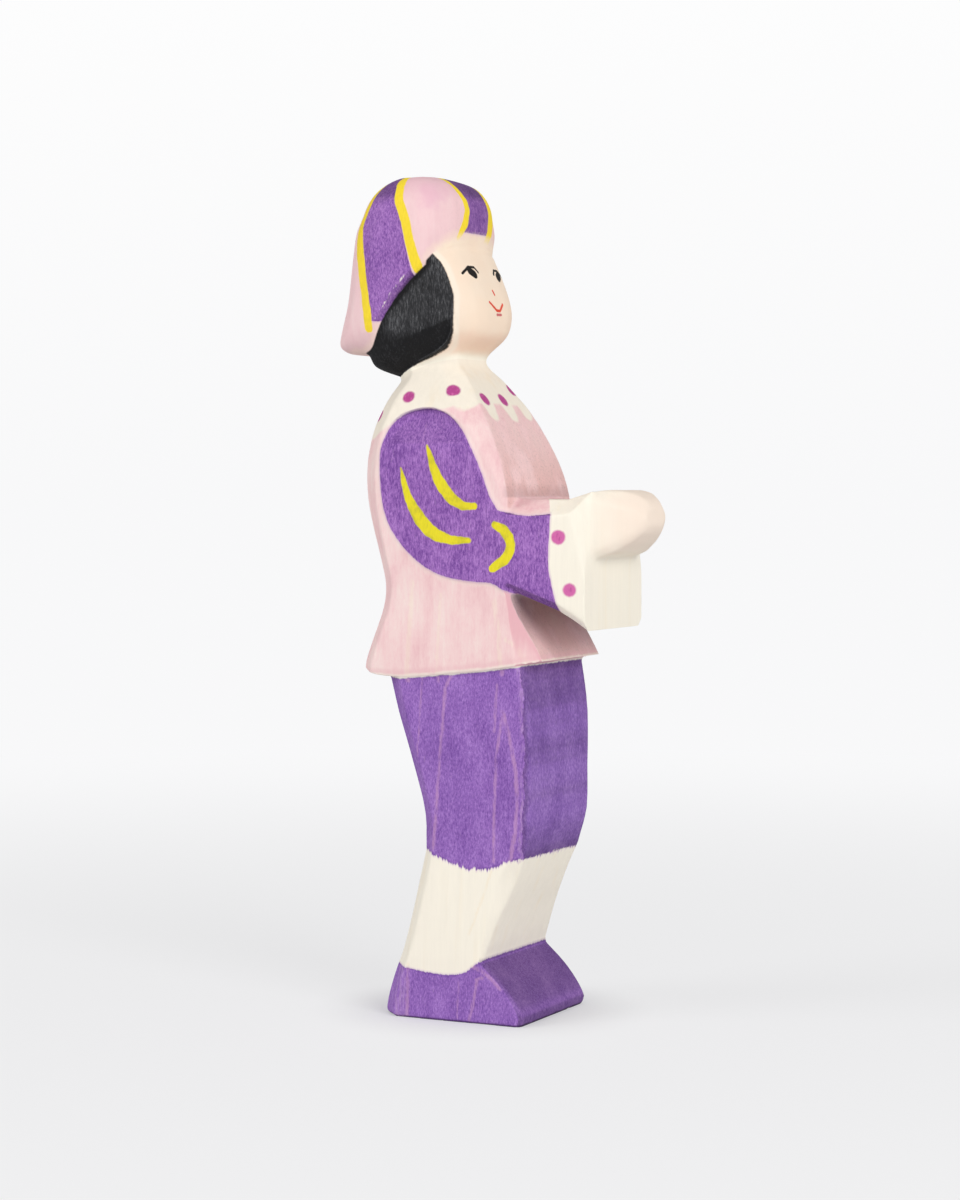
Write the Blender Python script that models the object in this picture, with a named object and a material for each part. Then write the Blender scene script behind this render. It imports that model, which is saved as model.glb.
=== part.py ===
"""A small standing figurine, sawn and carved from one block of wood and then stained.

The block is modelled as its carved sections, from the shoes up to the hat. Each section is a closed
solid of its own, a saw cut apart from its neighbours, so that each can be stained by itself.
The figure faces -Y, and the middle of its sole is the origin. The tables below measure forward of
the origin, which is towards -Y, and up from a named level. All lengths are in metres.
"""

import math
from collections import namedtuple

import bmesh
import bpy

# Driving dimensions
BLOCK_WIDTH = 0.0226
SEAM = 0.0003
SHOE_HEIGHT = 0.0092
CALF_LENGTH = 0.0157
THIGH_LENGTH = 0.0268
TORSO_HEIGHT = 0.0460
LEDGE_HEIGHT = 0.0252
HEAD_HEIGHT = 0.0270
SLEEVE_DEPTH = 0.0050
SLEEVE_RELIEF = 0.0003
FOREARM_BEVEL = 0.0012
HAND_BEVEL = 0.0010

# Levels where one length ends and the next begins
FLOOR = 0.0
ANKLE = FLOOR + SHOE_HEIGHT
KNEE = ANKLE + CALF_LENGTH
HEM = KNEE + THIGH_LENGTH
LEDGE = HEM + LEDGE_HEIGHT
NECK = HEM + TORSO_HEIGHT

# How finely curves and round corners are stepped, how far a line may lean at a sharp turn when it
# is shifted, and how far a zone reaches past the block
CURVE_STEPS = 3
ROUND_STEPS = 3
MITRE_LIMIT = 0.5
REACH = 0.040

# A level section through the block: the share of its part's height, how far its front and its back
# lie from the origin, how deep its sides are carved into the block, and how far its front and its
# back corners are cut away, across the width and along the depth
Section = namedtuple("Section", "share front back carved front_cut back_cut")

SHOE_SECTIONS = (
    Section(0.00, 0.0115, 0.0110, 0.0003, (0.0006, 0.0006), (0.0022, 0.0022)),
    Section(0.04, 0.0117, 0.0115, 0.0000, (0.0006, 0.0006), (0.0024, 0.0024)),
    Section(0.15, 0.0119, 0.0115, 0.0000, (0.0006, 0.0006), (0.0024, 0.0024)),
    Section(0.37, 0.0108, 0.0110, 0.0000, (0.0006, 0.0006), (0.0023, 0.0023)),
    Section(0.66, 0.0087, 0.0101, 0.0000, (0.0006, 0.0006), (0.0022, 0.0022)),
    Section(1.00, 0.0053, 0.0089, 0.0000, (0.0006, 0.0006), (0.0022, 0.0022)),
)
CALF_SECTIONS = (
    Section(0.00, 0.0053, 0.0089, 0.0000, (0.0006, 0.0006), (0.0022, 0.0022)),
    Section(0.40, 0.0075, 0.0073, 0.0003, (0.0010, 0.0014), (0.0022, 0.0022)),
    Section(0.73, 0.0098, 0.0062, 0.0006, (0.0016, 0.0024), (0.0022, 0.0022)),
    Section(1.00, 0.0115, 0.0052, 0.0009, (0.0010, 0.0014), (0.0020, 0.0020)),
)
THIGH_SECTIONS = (
    Section(0.00, 0.0115, 0.0052, 0.0009, (0.0010, 0.0014), (0.0020, 0.0020)),
    Section(0.19, 0.0126, 0.0052, 0.0007, (0.0005, 0.0006), (0.0020, 0.0020)),
    Section(0.44, 0.0127, 0.0070, 0.0006, (0.0005, 0.0006), (0.0022, 0.0022)),
    Section(0.75, 0.0126, 0.0098, 0.0004, (0.0005, 0.0006), (0.0026, 0.0026)),
    Section(1.00, 0.0117, 0.0117, 0.0004, (0.0005, 0.0006), (0.0030, 0.0030)),
    Section(1.10, 0.0112, 0.0121, 0.0004, (0.0005, 0.0006), (0.0030, 0.0030)),
)
TORSO_SECTIONS = (
    Section(-0.06, 0.0178, 0.0154, 0.0003, (0.0014, 0.0054), (0.0018, 0.0018)),
    Section(0.02, 0.0150, 0.0146, -0.0002, (0.0014, 0.0046), (0.0019, 0.0019)),
    Section(0.07, 0.0138, 0.0139, -0.0001, (0.0014, 0.0034), (0.0019, 0.0019)),
    Section(0.14, 0.0119, 0.0127, 0.0000, (0.0011, 0.0020), (0.0019, 0.0019)),
    Section(0.20, 0.0105, 0.0118, 0.0001, (0.0007, 0.0010), (0.0019, 0.0019)),
    Section(0.27, 0.0096, 0.0115, 0.0001, (0.0005, 0.0006), (0.0020, 0.0020)),
    Section(0.37, 0.0093, 0.0126, 0.0000, (0.0005, 0.0006), (0.0022, 0.0022)),
    Section(0.46, 0.0093, 0.0139, 0.0000, (0.0005, 0.0006), (0.0025, 0.0025)),
    Section(0.55, 0.0094, 0.0149, 0.0000, (0.0006, 0.0008), (0.0028, 0.0028)),
    Section(0.66, 0.0080, 0.0151, 0.0001, (0.0010, 0.0014), (0.0029, 0.0029)),
    Section(0.76, 0.0059, 0.0143, 0.0004, (0.0018, 0.0022), (0.0029, 0.0029)),
    Section(0.83, 0.0040, 0.0131, 0.0010, (0.0020, 0.0026), (0.0029, 0.0029)),
    Section(0.88, 0.0024, 0.0122, 0.0021, (0.0020, 0.0028), (0.0028, 0.0028)),
    Section(0.93, 0.0006, 0.0110, 0.0035, (0.0018, 0.0028), (0.0027, 0.0027)),
    Section(0.98, -0.0015, 0.0104, 0.0048, (0.0017, 0.0024), (0.0026, 0.0026)),
    Section(1.03, -0.0024, 0.0102, 0.0056, (0.0014, 0.0020), (0.0024, 0.0024)),
)
FACE_SECTIONS = (
    Section(-0.12, -0.0019, 0.0100, 0.0050, (0.0020, 0.0026), (0.0030, 0.0030)),
    Section(0.00, -0.0018, 0.0105, 0.0048, (0.0022, 0.0028), (0.0030, 0.0030)),
    Section(0.05, -0.0004, 0.0110, 0.0042, (0.0035, 0.0032), (0.0030, 0.0030)),
    Section(0.10, 0.0013, 0.0115, 0.0034, (0.0048, 0.0036), (0.0030, 0.0030)),
    Section(0.15, 0.0022, 0.0115, 0.0030, (0.0051, 0.0036), (0.0030, 0.0030)),
    Section(0.25, 0.0025, 0.0115, 0.0026, (0.0053, 0.0036), (0.0030, 0.0030)),
    Section(0.36, 0.0017, 0.0115, 0.0025, (0.0055, 0.0032), (0.0030, 0.0030)),
    Section(0.47, 0.0005, 0.0115, 0.0025, (0.0056, 0.0030), (0.0030, 0.0030)),
    Section(0.59, -0.0009, 0.0115, 0.0026, (0.0056, 0.0030), (0.0030, 0.0030)),
    Section(0.69, -0.0014, 0.0115, 0.0028, (0.0056, 0.0030), (0.0030, 0.0030)),
)
HAIR_SECTIONS = (
    Section(-0.10, 0.0020, 0.0122, 0.0052, (0.0020, 0.0060), (0.0030, 0.0030)),
    Section(-0.05, 0.0030, 0.0156, 0.0039, (0.0020, 0.0070), (0.0034, 0.0034)),
    Section(0.00, 0.0040, 0.0161, 0.0029, (0.0020, 0.0080), (0.0036, 0.0036)),
    Section(0.08, 0.0040, 0.0163, 0.0020, (0.0018, 0.0085), (0.0038, 0.0038)),
    Section(0.16, 0.0040, 0.0163, 0.0016, (0.0016, 0.0090), (0.0040, 0.0040)),
    Section(0.34, 0.0040, 0.0160, 0.0017, (0.0016, 0.0090), (0.0040, 0.0040)),
    Section(0.50, 0.0040, 0.0158, 0.0020, (0.0016, 0.0090), (0.0040, 0.0040)),
    Section(0.66, 0.0040, 0.0156, 0.0024, (0.0016, 0.0090), (0.0040, 0.0040)),
)
HAT_SECTIONS = (
    Section(0.025, -0.0060, 0.0203, 0.0040, (0.0030, 0.0030), (0.0050, 0.0050)),
    Section(0.055, -0.0055, 0.0216, 0.0029, (0.0030, 0.0030), (0.0052, 0.0052)),
    Section(0.090, -0.0050, 0.0216, 0.0021, (0.0034, 0.0034), (0.0054, 0.0054)),
    Section(0.170, -0.0040, 0.0206, 0.0012, (0.0038, 0.0038), (0.0055, 0.0055)),
    Section(0.300, -0.0032, 0.0195, 0.0008, (0.0042, 0.0042), (0.0056, 0.0056)),
    Section(0.440, -0.0026, 0.0189, 0.0006, (0.0044, 0.0044), (0.0056, 0.0056)),
    Section(0.590, -0.0015, 0.0184, 0.0006, (0.0064, 0.0046), (0.0056, 0.0056)),
    Section(0.690, -0.0007, 0.0180, 0.0007, (0.0072, 0.0048), (0.0056, 0.0056)),
    Section(0.770, -0.0008, 0.0171, 0.0009, (0.0078, 0.0050), (0.0056, 0.0056)),
    Section(0.840, -0.0009, 0.0164, 0.0013, (0.0078, 0.0050), (0.0054, 0.0054)),
    Section(0.910, -0.0018, 0.0153, 0.0023, (0.0070, 0.0046), (0.0050, 0.0050)),
    Section(0.965, -0.0035, 0.0137, 0.0038, (0.0056, 0.0040), (0.0044, 0.0044)),
    Section(1.000, -0.0065, 0.0122, 0.0058, (0.0042, 0.0030), (0.0036, 0.0036)),
)

# An upright section through the arms: how far forward it stands, its underside and its top above
# the chest ledge, how deep its sides are carved into the block, and how its top corners are cut
# away, across the width and along the height
Slice = namedtuple("Slice", "forward bottom top carved top_cut")

ARM_SLICES = (
    Slice(0.0000, -0.0105, -0.0001, -0.0003, (0.0040, 0.0020)),
    Slice(0.0090, -0.0132, -0.0001, -0.0001, (0.0040, 0.0022)),
    Slice(0.0169, -0.0162, -0.0003, 0.0006, (0.0038, 0.0022)),
    Slice(0.0192, -0.0176, 0.0004, 0.0008, (0.0034, 0.0026)),
    Slice(0.0214, -0.0191, 0.0010, 0.0009, (0.0026, 0.0120)),
)
HAND_SLICES = (
    Slice(0.0180, -0.0088, 0.0010, 0.0026, (0.0024, 0.0018)),
    Slice(0.0214, -0.0088, 0.0011, 0.0028, (0.0024, 0.0018)),
    Slice(0.0240, -0.0079, 0.0012, 0.0039, (0.0024, 0.0020)),
    Slice(0.0260, -0.0065, 0.0008, 0.0053, (0.0024, 0.0022)),
    Slice(0.0275, -0.0051, -0.0002, 0.0068, (0.0020, 0.0020)),
    Slice(0.0282, -0.0040, -0.0014, 0.0078, (0.0012, 0.0010)),
)

# Side views of the lines between the sections: each point lies forward of the origin and above a
# named level, and the lines run from back to front, or upwards
SHOE_LINE = ((-0.0140, -0.0006), (-0.0096, -0.0014), (-0.0066, -0.0018), (-0.0032, -0.0022),
             (0.0001, -0.0023), (0.0026, -0.0018), (0.0050, -0.0001), (0.0100, 0.0028))
KNEE_LINE = ((-0.0090, 0.0008), (-0.0056, 0.0003), (-0.0028, -0.0006), (0.0000, -0.0016),
             (0.0033, -0.0023), (0.0066, -0.0020), (0.0100, -0.0007), (0.0150, -0.0002))
HEM_LINE = ((-0.0170, 0.0008), (-0.0148, -0.0002), (-0.0125, -0.0010), (-0.0095, -0.0013),
            (-0.0047, -0.0010), (0.0003, -0.0005), (0.0052, 0.0000), (0.0100, 0.0007),
            (0.0147, 0.0015))
COLLAR_LINE = ((-0.0190, -0.0150), (-0.0150, -0.0135), (-0.0120, -0.0112), (-0.0085, -0.0077),
               (-0.0040, -0.0066), (0.0000, -0.0072), (0.0040, -0.0088), (0.0090, -0.0105))
NECK_LINE = ((-0.0160, -0.0050), (-0.0101, -0.0026), (-0.0056, -0.0011), (-0.0008, -0.0001),
             (0.0050, 0.0004))
RIM_LINE = ((-0.0260, 0.0006), (-0.0200, 0.0006), (-0.0157, 0.0008), (-0.0137, 0.0020),
            (-0.0118, 0.0052), (-0.0095, 0.0084), (-0.0072, 0.0109), (-0.0050, 0.0130),
            (-0.0030, 0.0149), (-0.0010, 0.0169), (0.0010, 0.0178), (0.0060, 0.0180))
HAIRLINE = ((-0.0220, -0.0060), (-0.0140, -0.0036), (-0.0100, -0.0022), (-0.0072, -0.0009),
            (-0.0045, 0.0001), (-0.0024, 0.0013), (-0.0010, 0.0030), (-0.0005, 0.0054),
            (-0.0004, 0.0084), (-0.0009, 0.0104), (-0.0020, 0.0130), (-0.0036, 0.0150),
            (-0.0058, 0.0175), (-0.0085, 0.0200))

# The sleeve's outline: its shoulder above the neck's level, its elbow and forearm above the ledge
SHOULDER = ((-0.0112, -0.0167), (-0.0108, -0.0125), (-0.0089, -0.0094), (-0.0058, -0.0080),
            (-0.0026, -0.0080), (0.0005, -0.0096), (0.0030, -0.0126), (0.0051, -0.0167))
CROOK = ((0.0066, 0.0002), (0.0080, -0.0019))
FOREARM_TOP = ((0.0080, -0.0019), (0.0098, -0.0023), (0.0120, -0.0027), (0.0143, -0.0026),
               (0.0161, -0.0024))
CUFF_EDGE = ((0.0161, -0.0024), (0.0158, -0.0087), (0.0161, -0.0115), (0.0172, -0.0163))
ELBOW = ((0.0172, -0.0163), (0.0130, -0.0148), (0.0092, -0.0133), (0.0070, -0.0122),
         (0.0038, -0.0120), (-0.0010, -0.0112), (-0.0051, -0.0091), (-0.0085, -0.0057),
         (-0.0105, -0.0018))

# Where the sides of a sleeve's shoulder stop and its forearm begins
SHOULDER_FRONT = 0.0080
SHOULDER_CUT = (0.0026, 0.0060)

WOOD_ROUGHNESS = 0.7


def clear_scene():
    for existing in list(bpy.data.objects):
        bpy.data.objects.remove(existing, do_unlink=True)


def half_width(carved):
    """Half of the block's width, less the depth that its side is carved."""
    return BLOCK_WIDTH / 2 - carved


def above(points, level):
    """Side-view points moved up to a level."""
    return [(forward, level + height) for forward, height in points]


def flat_values(section):
    """The numbers of a section in one list, so that sections can be blended."""
    values = []
    for value in section:
        values.extend(value if isinstance(value, tuple) else (value,))
    return values


def blended(rows, steps):
    """Rows of numbers with smooth in-between rows, each row keyed by its first number."""
    slopes = []
    last = len(rows) - 1
    for index in range(len(rows)):
        before = rows[max(index - 1, 0)]
        after = rows[min(index + 1, last)]
        span = after[0] - before[0]
        slopes.append([(b - a) / span for a, b in zip(before, after)])
    smooth = []
    for index in range(last):
        start, end = rows[index], rows[index + 1]
        span = end[0] - start[0]
        for step in range(steps):
            t = step / steps
            ease = t * t * (3 - 2 * t)
            leave = t * (1 - t) * (1 - t) * span
            arrive = -t * t * (1 - t) * span
            smooth.append([a + (b - a) * ease + p * leave + q * arrive
                           for a, b, p, q in zip(start, end, slopes[index], slopes[index + 1])])
    smooth.append(list(rows[last]))
    return smooth


def curve_through(points, steps=CURVE_STEPS):
    """An open line of side-view points with smooth in-between points."""
    smooth = []
    last = len(points) - 1
    for index in range(last):
        p0 = points[max(index - 1, 0)]
        p1 = points[index]
        p2 = points[index + 1]
        p3 = points[min(index + 2, last)]
        for step in range(steps):
            t = step / steps
            smooth.append(tuple(
                0.5 * (2 * b + (c - a) * t + (2 * a - 5 * b + 4 * c - d) * t * t
                       + (3 * b - a - 3 * c + d) * t * t * t)
                for a, b, c, d in zip(p0, p1, p2, p3)))
    smooth.append(tuple(points[last]))
    return smooth


def shifted(points, distance, closed=False):
    """A side-view line moved to its left by a distance, square to itself."""
    count = len(points)
    moved = []
    for index, (forward, height) in enumerate(points):
        before = points[index - 1] if index > 0 or closed else points[0]
        after = points[(index + 1) % count] if index < count - 1 or closed else points[-1]
        along = []
        for start, end in ((before, points[index]), (points[index], after)):
            length = math.dist(start, end)
            if length > 0:
                along.append(((end[0] - start[0]) / length, (end[1] - start[1]) / length))
        normal_forward = -sum(direction[1] for direction in along)
        normal_height = sum(direction[0] for direction in along)
        length = math.hypot(normal_forward, normal_height)
        normal = (normal_forward / length, normal_height / length)
        lean = max(normal[1] * along[0][0] - normal[0] * along[0][1], MITRE_LIMIT)
        moved.append((forward + normal[0] * distance / lean, height + normal[1] * distance / lean))
    return moved


def corner_arc(centre, radii, first_angle, steps):
    """Points round one corner of a section, a quarter turn in a number of steps."""
    points = []
    for step in range(steps + 1):
        angle = first_angle + math.pi / 2 * step / steps
        points.append((centre[0] + radii[0] * math.cos(angle),
                       centre[1] + radii[1] * math.sin(angle)))
    return points


def rounded_outline(half, low, high, low_cut, high_cut, steps):
    """A rectangle from -half to half across and from low to high, with its corners cut."""
    outline = []
    outline += corner_arc((half - low_cut[0], low + low_cut[1]), low_cut, -math.pi / 2, steps)
    outline += corner_arc((half - high_cut[0], high - high_cut[1]), high_cut, 0, steps)
    outline += corner_arc((high_cut[0] - half, high - high_cut[1]), high_cut, math.pi / 2, steps)
    outline += corner_arc((low_cut[0] - half, low + low_cut[1]), low_cut, math.pi, steps)
    return outline


def mesh_object(name, vertices, faces):
    """A closed mesh of its own object, with its faces pointing out."""
    mesh = bpy.data.meshes.new(name)
    mesh.from_pydata(vertices, [], faces)
    shaper = bmesh.new()
    shaper.from_mesh(mesh)
    bmesh.ops.recalc_face_normals(shaper, faces=shaper.faces)
    shaper.to_mesh(mesh)
    shaper.free()
    piece = bpy.data.objects.new(name, mesh)
    bpy.context.scene.collection.objects.link(piece)
    return piece


def loft(name, rings):
    """A solid skinned over rings of equally many points, capped at both ends."""
    count = len(rings[0])
    vertices = [point for ring in rings for point in ring]
    faces = [tuple(range(count)), tuple(range(len(vertices) - count, len(vertices)))]
    for level in range(len(rings) - 1):
        for index in range(count):
            here = level * count + index
            beside = level * count + (index + 1) % count
            faces.append((here, beside, beside + count, here + count))
    return mesh_object(name, vertices, faces)


def level_rings(sections, base, height, round_steps):
    """Rings for level sections, smoothly blended along the height."""
    rings = []
    for row in blended([flat_values(section) for section in sections], CURVE_STEPS):
        share, front, back, carved = row[:4]
        outline = rounded_outline(half_width(carved), -front, back, row[4:6], row[6:8], round_steps)
        rings.append([(x, y, base + share * height) for x, y in outline])
    return rings


def upright_rings(slices, low_cut):
    """Rings for the upright sections of the arms, standing one in front of the other."""
    rings = []
    for item in slices:
        outline = rounded_outline(half_width(item.carved), LEDGE + item.bottom, LEDGE + item.top,
                                  low_cut, item.top_cut, 1)
        rings.append([(x, -item.forward, z) for x, z in outline])
    return rings


def prism(name, outline, left, right):
    """A closed side-view outline drawn out across the width."""
    count = len(outline)
    vertices = [(x, -forward, height) for x in (left, right) for forward, height in outline]
    faces = [tuple(range(count)), tuple(range(count, 2 * count))]
    for index in range(count):
        beside = (index + 1) % count
        faces.append((index, beside, beside + count, index + count))
    return mesh_object(name, vertices, faces)


def as_guide(guide):
    """Keep a cutting shape out of the figure."""
    guide.hide_render = True
    guide.display_type = "WIRE"
    return guide


def zone(name, line, corners):
    """A guide for the room on one side of a side-view line, closed round by corners."""
    return as_guide(prism(name, list(line) + list(corners), -REACH, REACH))


def room_to(name, line, seam, level):
    """The room between a line, shifted by a seam and run out level at its ends, and a level."""
    edge = shifted(line, seam)
    outline = [(-REACH, edge[0][1])] + edge + [(REACH, edge[-1][1])]
    return zone(name, outline, ((REACH, level), (-REACH, level)))


def room_over(name, line):
    """The room above a line, half a seam away from it."""
    return room_to(name, line, SEAM / 2, NECK + HEAD_HEIGHT + REACH)


def room_under(name, line):
    """The room below a line, half a seam away from it."""
    return room_to(name, line, -SEAM / 2, FLOOR - REACH)


def combine(piece, operation, guide):
    """Trim, cut or enlarge a piece by a guide."""
    step = piece.modifiers.new(operation.title() + " " + guide.name, "BOOLEAN")
    step.operation = operation
    step.object = guide


def stained(piece, colour, roughness=WOOD_ROUGHNESS):
    """Give a piece its own stain."""
    material = bpy.data.materials.new(piece.name + "_stain")
    material.use_nodes = True
    shader = material.node_tree.nodes["Principled BSDF"]
    shader.inputs["Base Color"].default_value = (*colour, 1.0)
    shader.inputs["Roughness"].default_value = roughness
    shader.inputs["Metallic"].default_value = 0.0
    piece.data.materials.append(material)
    return piece


def legs_rings():
    """Rings of the lower block, from the sole to just above the hem."""
    rings = level_rings(SHOE_SECTIONS, FLOOR, SHOE_HEIGHT, 1)
    rings += level_rings(CALF_SECTIONS, ANKLE, CALF_LENGTH, 1)[1:]
    rings += level_rings(THIGH_SECTIONS, KNEE, THIGH_LENGTH, 1)[1:]
    return rings


def torso_rings():
    """Rings of the upper block, from just below the hem to above the collar."""
    return level_rings(TORSO_SECTIONS, HEM, TORSO_HEIGHT, 1)


def cuff_edge():
    """The line between the sleeves and the cuffs, upwards, run out past the arms' top and bottom."""
    line = curve_through(above(CUFF_EDGE[::-1], LEDGE))
    bottom, top = line[0], line[-1]
    return [(bottom[0], bottom[1] - REACH)] + line + [(top[0], top[1] + REACH)]


def sleeve_outline():
    """The closed outline of a sleeve, from the cuff round the elbow and shoulder and back."""
    arm = curve_through(above(ELBOW, LEDGE) + above(SHOULDER, NECK) + above(CROOK, LEDGE))
    top = curve_through(above(FOREARM_TOP, LEDGE))
    front = curve_through(above(CUFF_EDGE, LEDGE))
    return arm + top[1:] + front[1:-1]


def shoes():
    """The shoes, one wedge with a sloping instep."""
    piece = loft("shoes", legs_rings())
    combine(piece, "INTERSECT", room_under("shoes_room", curve_through(above(SHOE_LINE, ANKLE))))
    return stained(piece, (0.27, 0.13, 0.44))


def stockings():
    """The stockings, from the shoes to the knee."""
    piece = loft("stockings", legs_rings())
    combine(piece, "INTERSECT", room_over("ankle_room", curve_through(above(SHOE_LINE, ANKLE))))
    combine(piece, "INTERSECT", room_under("calf_room", curve_through(above(KNEE_LINE, KNEE))))
    return stained(piece, (0.86, 0.80, 0.68))


def breeches():
    """The knee breeches, up to the jacket's hem."""
    piece = loft("breeches", legs_rings())
    combine(piece, "INTERSECT", room_over("thigh_room", curve_through(above(KNEE_LINE, KNEE))))
    combine(piece, "INTERSECT", room_under("waist_room", curve_through(above(HEM_LINE, HEM))))
    return stained(piece, (0.28, 0.14, 0.46))


def jacket():
    """The jacket, with its skirt, its chest and the wood between the forearms."""
    piece = loft("jacket", torso_rings())
    between = as_guide(loft("forearm_core", arm_rings(ARM_SLICES)))
    combine(piece, "UNION", between)
    combine(piece, "INTERSECT", room_over("skirt_room", curve_through(above(HEM_LINE, HEM))))
    combine(piece, "INTERSECT", room_under("jacket_room", curve_through(above(COLLAR_LINE, NECK))))
    edge = shifted(cuff_edge(), SEAM / 2)
    combine(piece, "INTERSECT", zone("jacket_front", edge,
                                     ((-REACH, edge[-1][1]), (-REACH, edge[0][1]))))
    pocket = shifted(sleeve_outline(), SEAM, closed=True)
    inner = half_width(SLEEVE_DEPTH + SEAM)
    for side, name in ((-1, "pocket_right"), (1, "pocket_left")):
        combine(piece, "DIFFERENCE", as_guide(prism(name, pocket, side * inner, side * REACH)))
    return stained(piece, (0.86, 0.62, 0.62))


def arm_rings(slices):
    """Rings of the forearms, with their lower edges bevelled."""
    return upright_rings(slices, (FOREARM_BEVEL, FOREARM_BEVEL))


def sleeve(name, side):
    """A sleeve, let into the side of the jacket from the shoulder to the cuff."""
    inner = side * half_width(SLEEVE_DEPTH)
    piece = prism(name, sleeve_outline(), inner, side * REACH)
    shoulder_top = NECK + SHOULDER[3][1] - LEDGE + SEAM
    tall = [Slice(forward, ELBOW[0][1] - REACH, shoulder_top, -SLEEVE_RELIEF, SHOULDER_CUT)
            for forward in (-REACH, SHOULDER_FRONT)]
    blank = as_guide(loft(name + "_blank", arm_rings(tall + list(ARM_SLICES[1:]))))
    combine(piece, "INTERSECT", blank)
    return stained(piece, (0.27, 0.12, 0.41))


def cuffs():
    """The cuffs, one block across both forearms."""
    piece = loft("cuffs", arm_rings(ARM_SLICES))
    edge = shifted(cuff_edge(), -SEAM / 2)
    combine(piece, "INTERSECT", zone("cuffs_room", edge,
                                     ((REACH, edge[-1][1]), (REACH, edge[0][1]))))
    return stained(piece, (0.88, 0.83, 0.72))


def hands():
    """The joined hands, tapering forward of the cuffs to a rounded nose."""
    root = ARM_SLICES[-1].forward + SEAM
    piece = loft("hands", upright_rings(HAND_SLICES, (HAND_BEVEL, HAND_BEVEL)))
    bottom = FLOOR - REACH
    top = NECK + REACH
    combine(piece, "INTERSECT", zone("hands_room", ((root, bottom), (root, top)),
                                     ((root + REACH, top), (root + REACH, bottom))))
    return stained(piece, (0.88, 0.74, 0.62))


def collar():
    """The collar, over the shoulders and up to the neck."""
    piece = loft("collar", torso_rings())
    combine(piece, "INTERSECT", room_over("collar_room", curve_through(above(COLLAR_LINE, NECK))))
    combine(piece, "INTERSECT", room_under("neck_room", curve_through(above(NECK_LINE, NECK))))
    return stained(piece, (0.84, 0.77, 0.64))


def head():
    """The face and neck, in front of and below the hair."""
    piece = loft("head", level_rings(FACE_SECTIONS, NECK, HEAD_HEIGHT, ROUND_STEPS))
    combine(piece, "INTERSECT", room_over("head_room", curve_through(above(NECK_LINE, NECK))))
    combine(piece, "INTERSECT", room_under("brow_room", curve_through(above(RIM_LINE, NECK))))
    combine(piece, "INTERSECT", room_under("cheek_room", curve_through(above(HAIRLINE, NECK))))
    return stained(piece, (0.88, 0.72, 0.57))


def hair():
    """The hair, round the back of the head and down to the collar."""
    piece = loft("hair", level_rings(HAIR_SECTIONS, NECK, HEAD_HEIGHT, 2))
    combine(piece, "INTERSECT", room_over("temple_room", curve_through(above(HAIRLINE, NECK))))
    combine(piece, "INTERSECT", room_under("hair_room", curve_through(above(RIM_LINE, NECK))))
    combine(piece, "INTERSECT", room_over("nape_room", curve_through(above(NECK_LINE, NECK))))
    return stained(piece, (0.03, 0.03, 0.03), 0.6)


def hat():
    """The soft hat, its crown flattened and its rim slanting down to the nape."""
    piece = loft("hat", level_rings(HAT_SECTIONS, NECK, HEAD_HEIGHT, ROUND_STEPS))
    combine(piece, "INTERSECT", room_over("hat_room", curve_through(above(RIM_LINE, NECK))))
    return stained(piece, (0.86, 0.63, 0.64))


def main():
    clear_scene()
    shoes()
    stockings()
    breeches()
    jacket()
    sleeve("sleeve_right", -1)
    sleeve("sleeve_left", 1)
    cuffs()
    hands()
    collar()
    head()
    hair()
    hat()


main()
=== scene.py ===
"""The looks of the small carved figurine.

Its packed sections are joined into one sanded wooden skin, as the real block is one piece of wood.
The skin is then cut along the sections' own lines into pieces that meet without a gap, and each
piece gets its stain. Distances on the skin, such as how far a point lies from the hem or from a
brush stroke, are kept as attributes of the mesh, and the materials turn them into paint.
Lengths are in millimetres until a piece is finished. Forward is towards -Y.
"""

import math

import bmesh
import bpy
import numpy as np
from mathutils import Matrix, Vector, noise
from mathutils.bvhtree import BVHTree
from mathutils.kdtree import KDTree


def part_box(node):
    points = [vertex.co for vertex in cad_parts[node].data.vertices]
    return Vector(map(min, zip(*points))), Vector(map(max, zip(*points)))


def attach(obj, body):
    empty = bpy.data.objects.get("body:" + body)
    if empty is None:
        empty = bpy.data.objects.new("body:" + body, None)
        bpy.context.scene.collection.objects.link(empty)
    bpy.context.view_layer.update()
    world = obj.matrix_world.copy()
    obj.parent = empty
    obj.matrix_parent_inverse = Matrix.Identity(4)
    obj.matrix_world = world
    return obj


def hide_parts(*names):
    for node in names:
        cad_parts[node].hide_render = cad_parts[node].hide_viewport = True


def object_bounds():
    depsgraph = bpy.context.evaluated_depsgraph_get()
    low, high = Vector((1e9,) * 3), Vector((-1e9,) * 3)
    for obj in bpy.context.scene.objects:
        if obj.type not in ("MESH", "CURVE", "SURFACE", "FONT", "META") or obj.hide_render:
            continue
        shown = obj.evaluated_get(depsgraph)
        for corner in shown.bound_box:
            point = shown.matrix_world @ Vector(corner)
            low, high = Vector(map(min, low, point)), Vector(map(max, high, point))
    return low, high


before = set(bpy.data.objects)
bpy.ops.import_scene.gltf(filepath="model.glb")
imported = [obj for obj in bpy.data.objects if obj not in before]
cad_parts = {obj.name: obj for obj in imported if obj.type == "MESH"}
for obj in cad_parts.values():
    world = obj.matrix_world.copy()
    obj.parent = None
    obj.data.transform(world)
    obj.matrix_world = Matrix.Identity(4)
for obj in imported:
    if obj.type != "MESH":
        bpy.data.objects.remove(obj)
cad_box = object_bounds()

MM = 0.001

# The skin: how far the sections swell so that they join, and how fine and how soft it is
WELD = 0.0002
SWELL = 0.2
VOXEL = 0.22
SMOOTH_STEPS = 40
CRISP = 0.10
SOFT_HEAD = 0.85
SOFT_HAND = 0.70
SOFT_COLLAR = 0.35
SOFT_CALF = 0.45
RIM_GROOVE = 0.22
KNIFE_MARKS = 0.035
SAW_MARKS = 0.012
SLEEVE_HALF = 11.38
SHOULDERS = (78, 84)
WEAR_STEPS = 10

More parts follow.
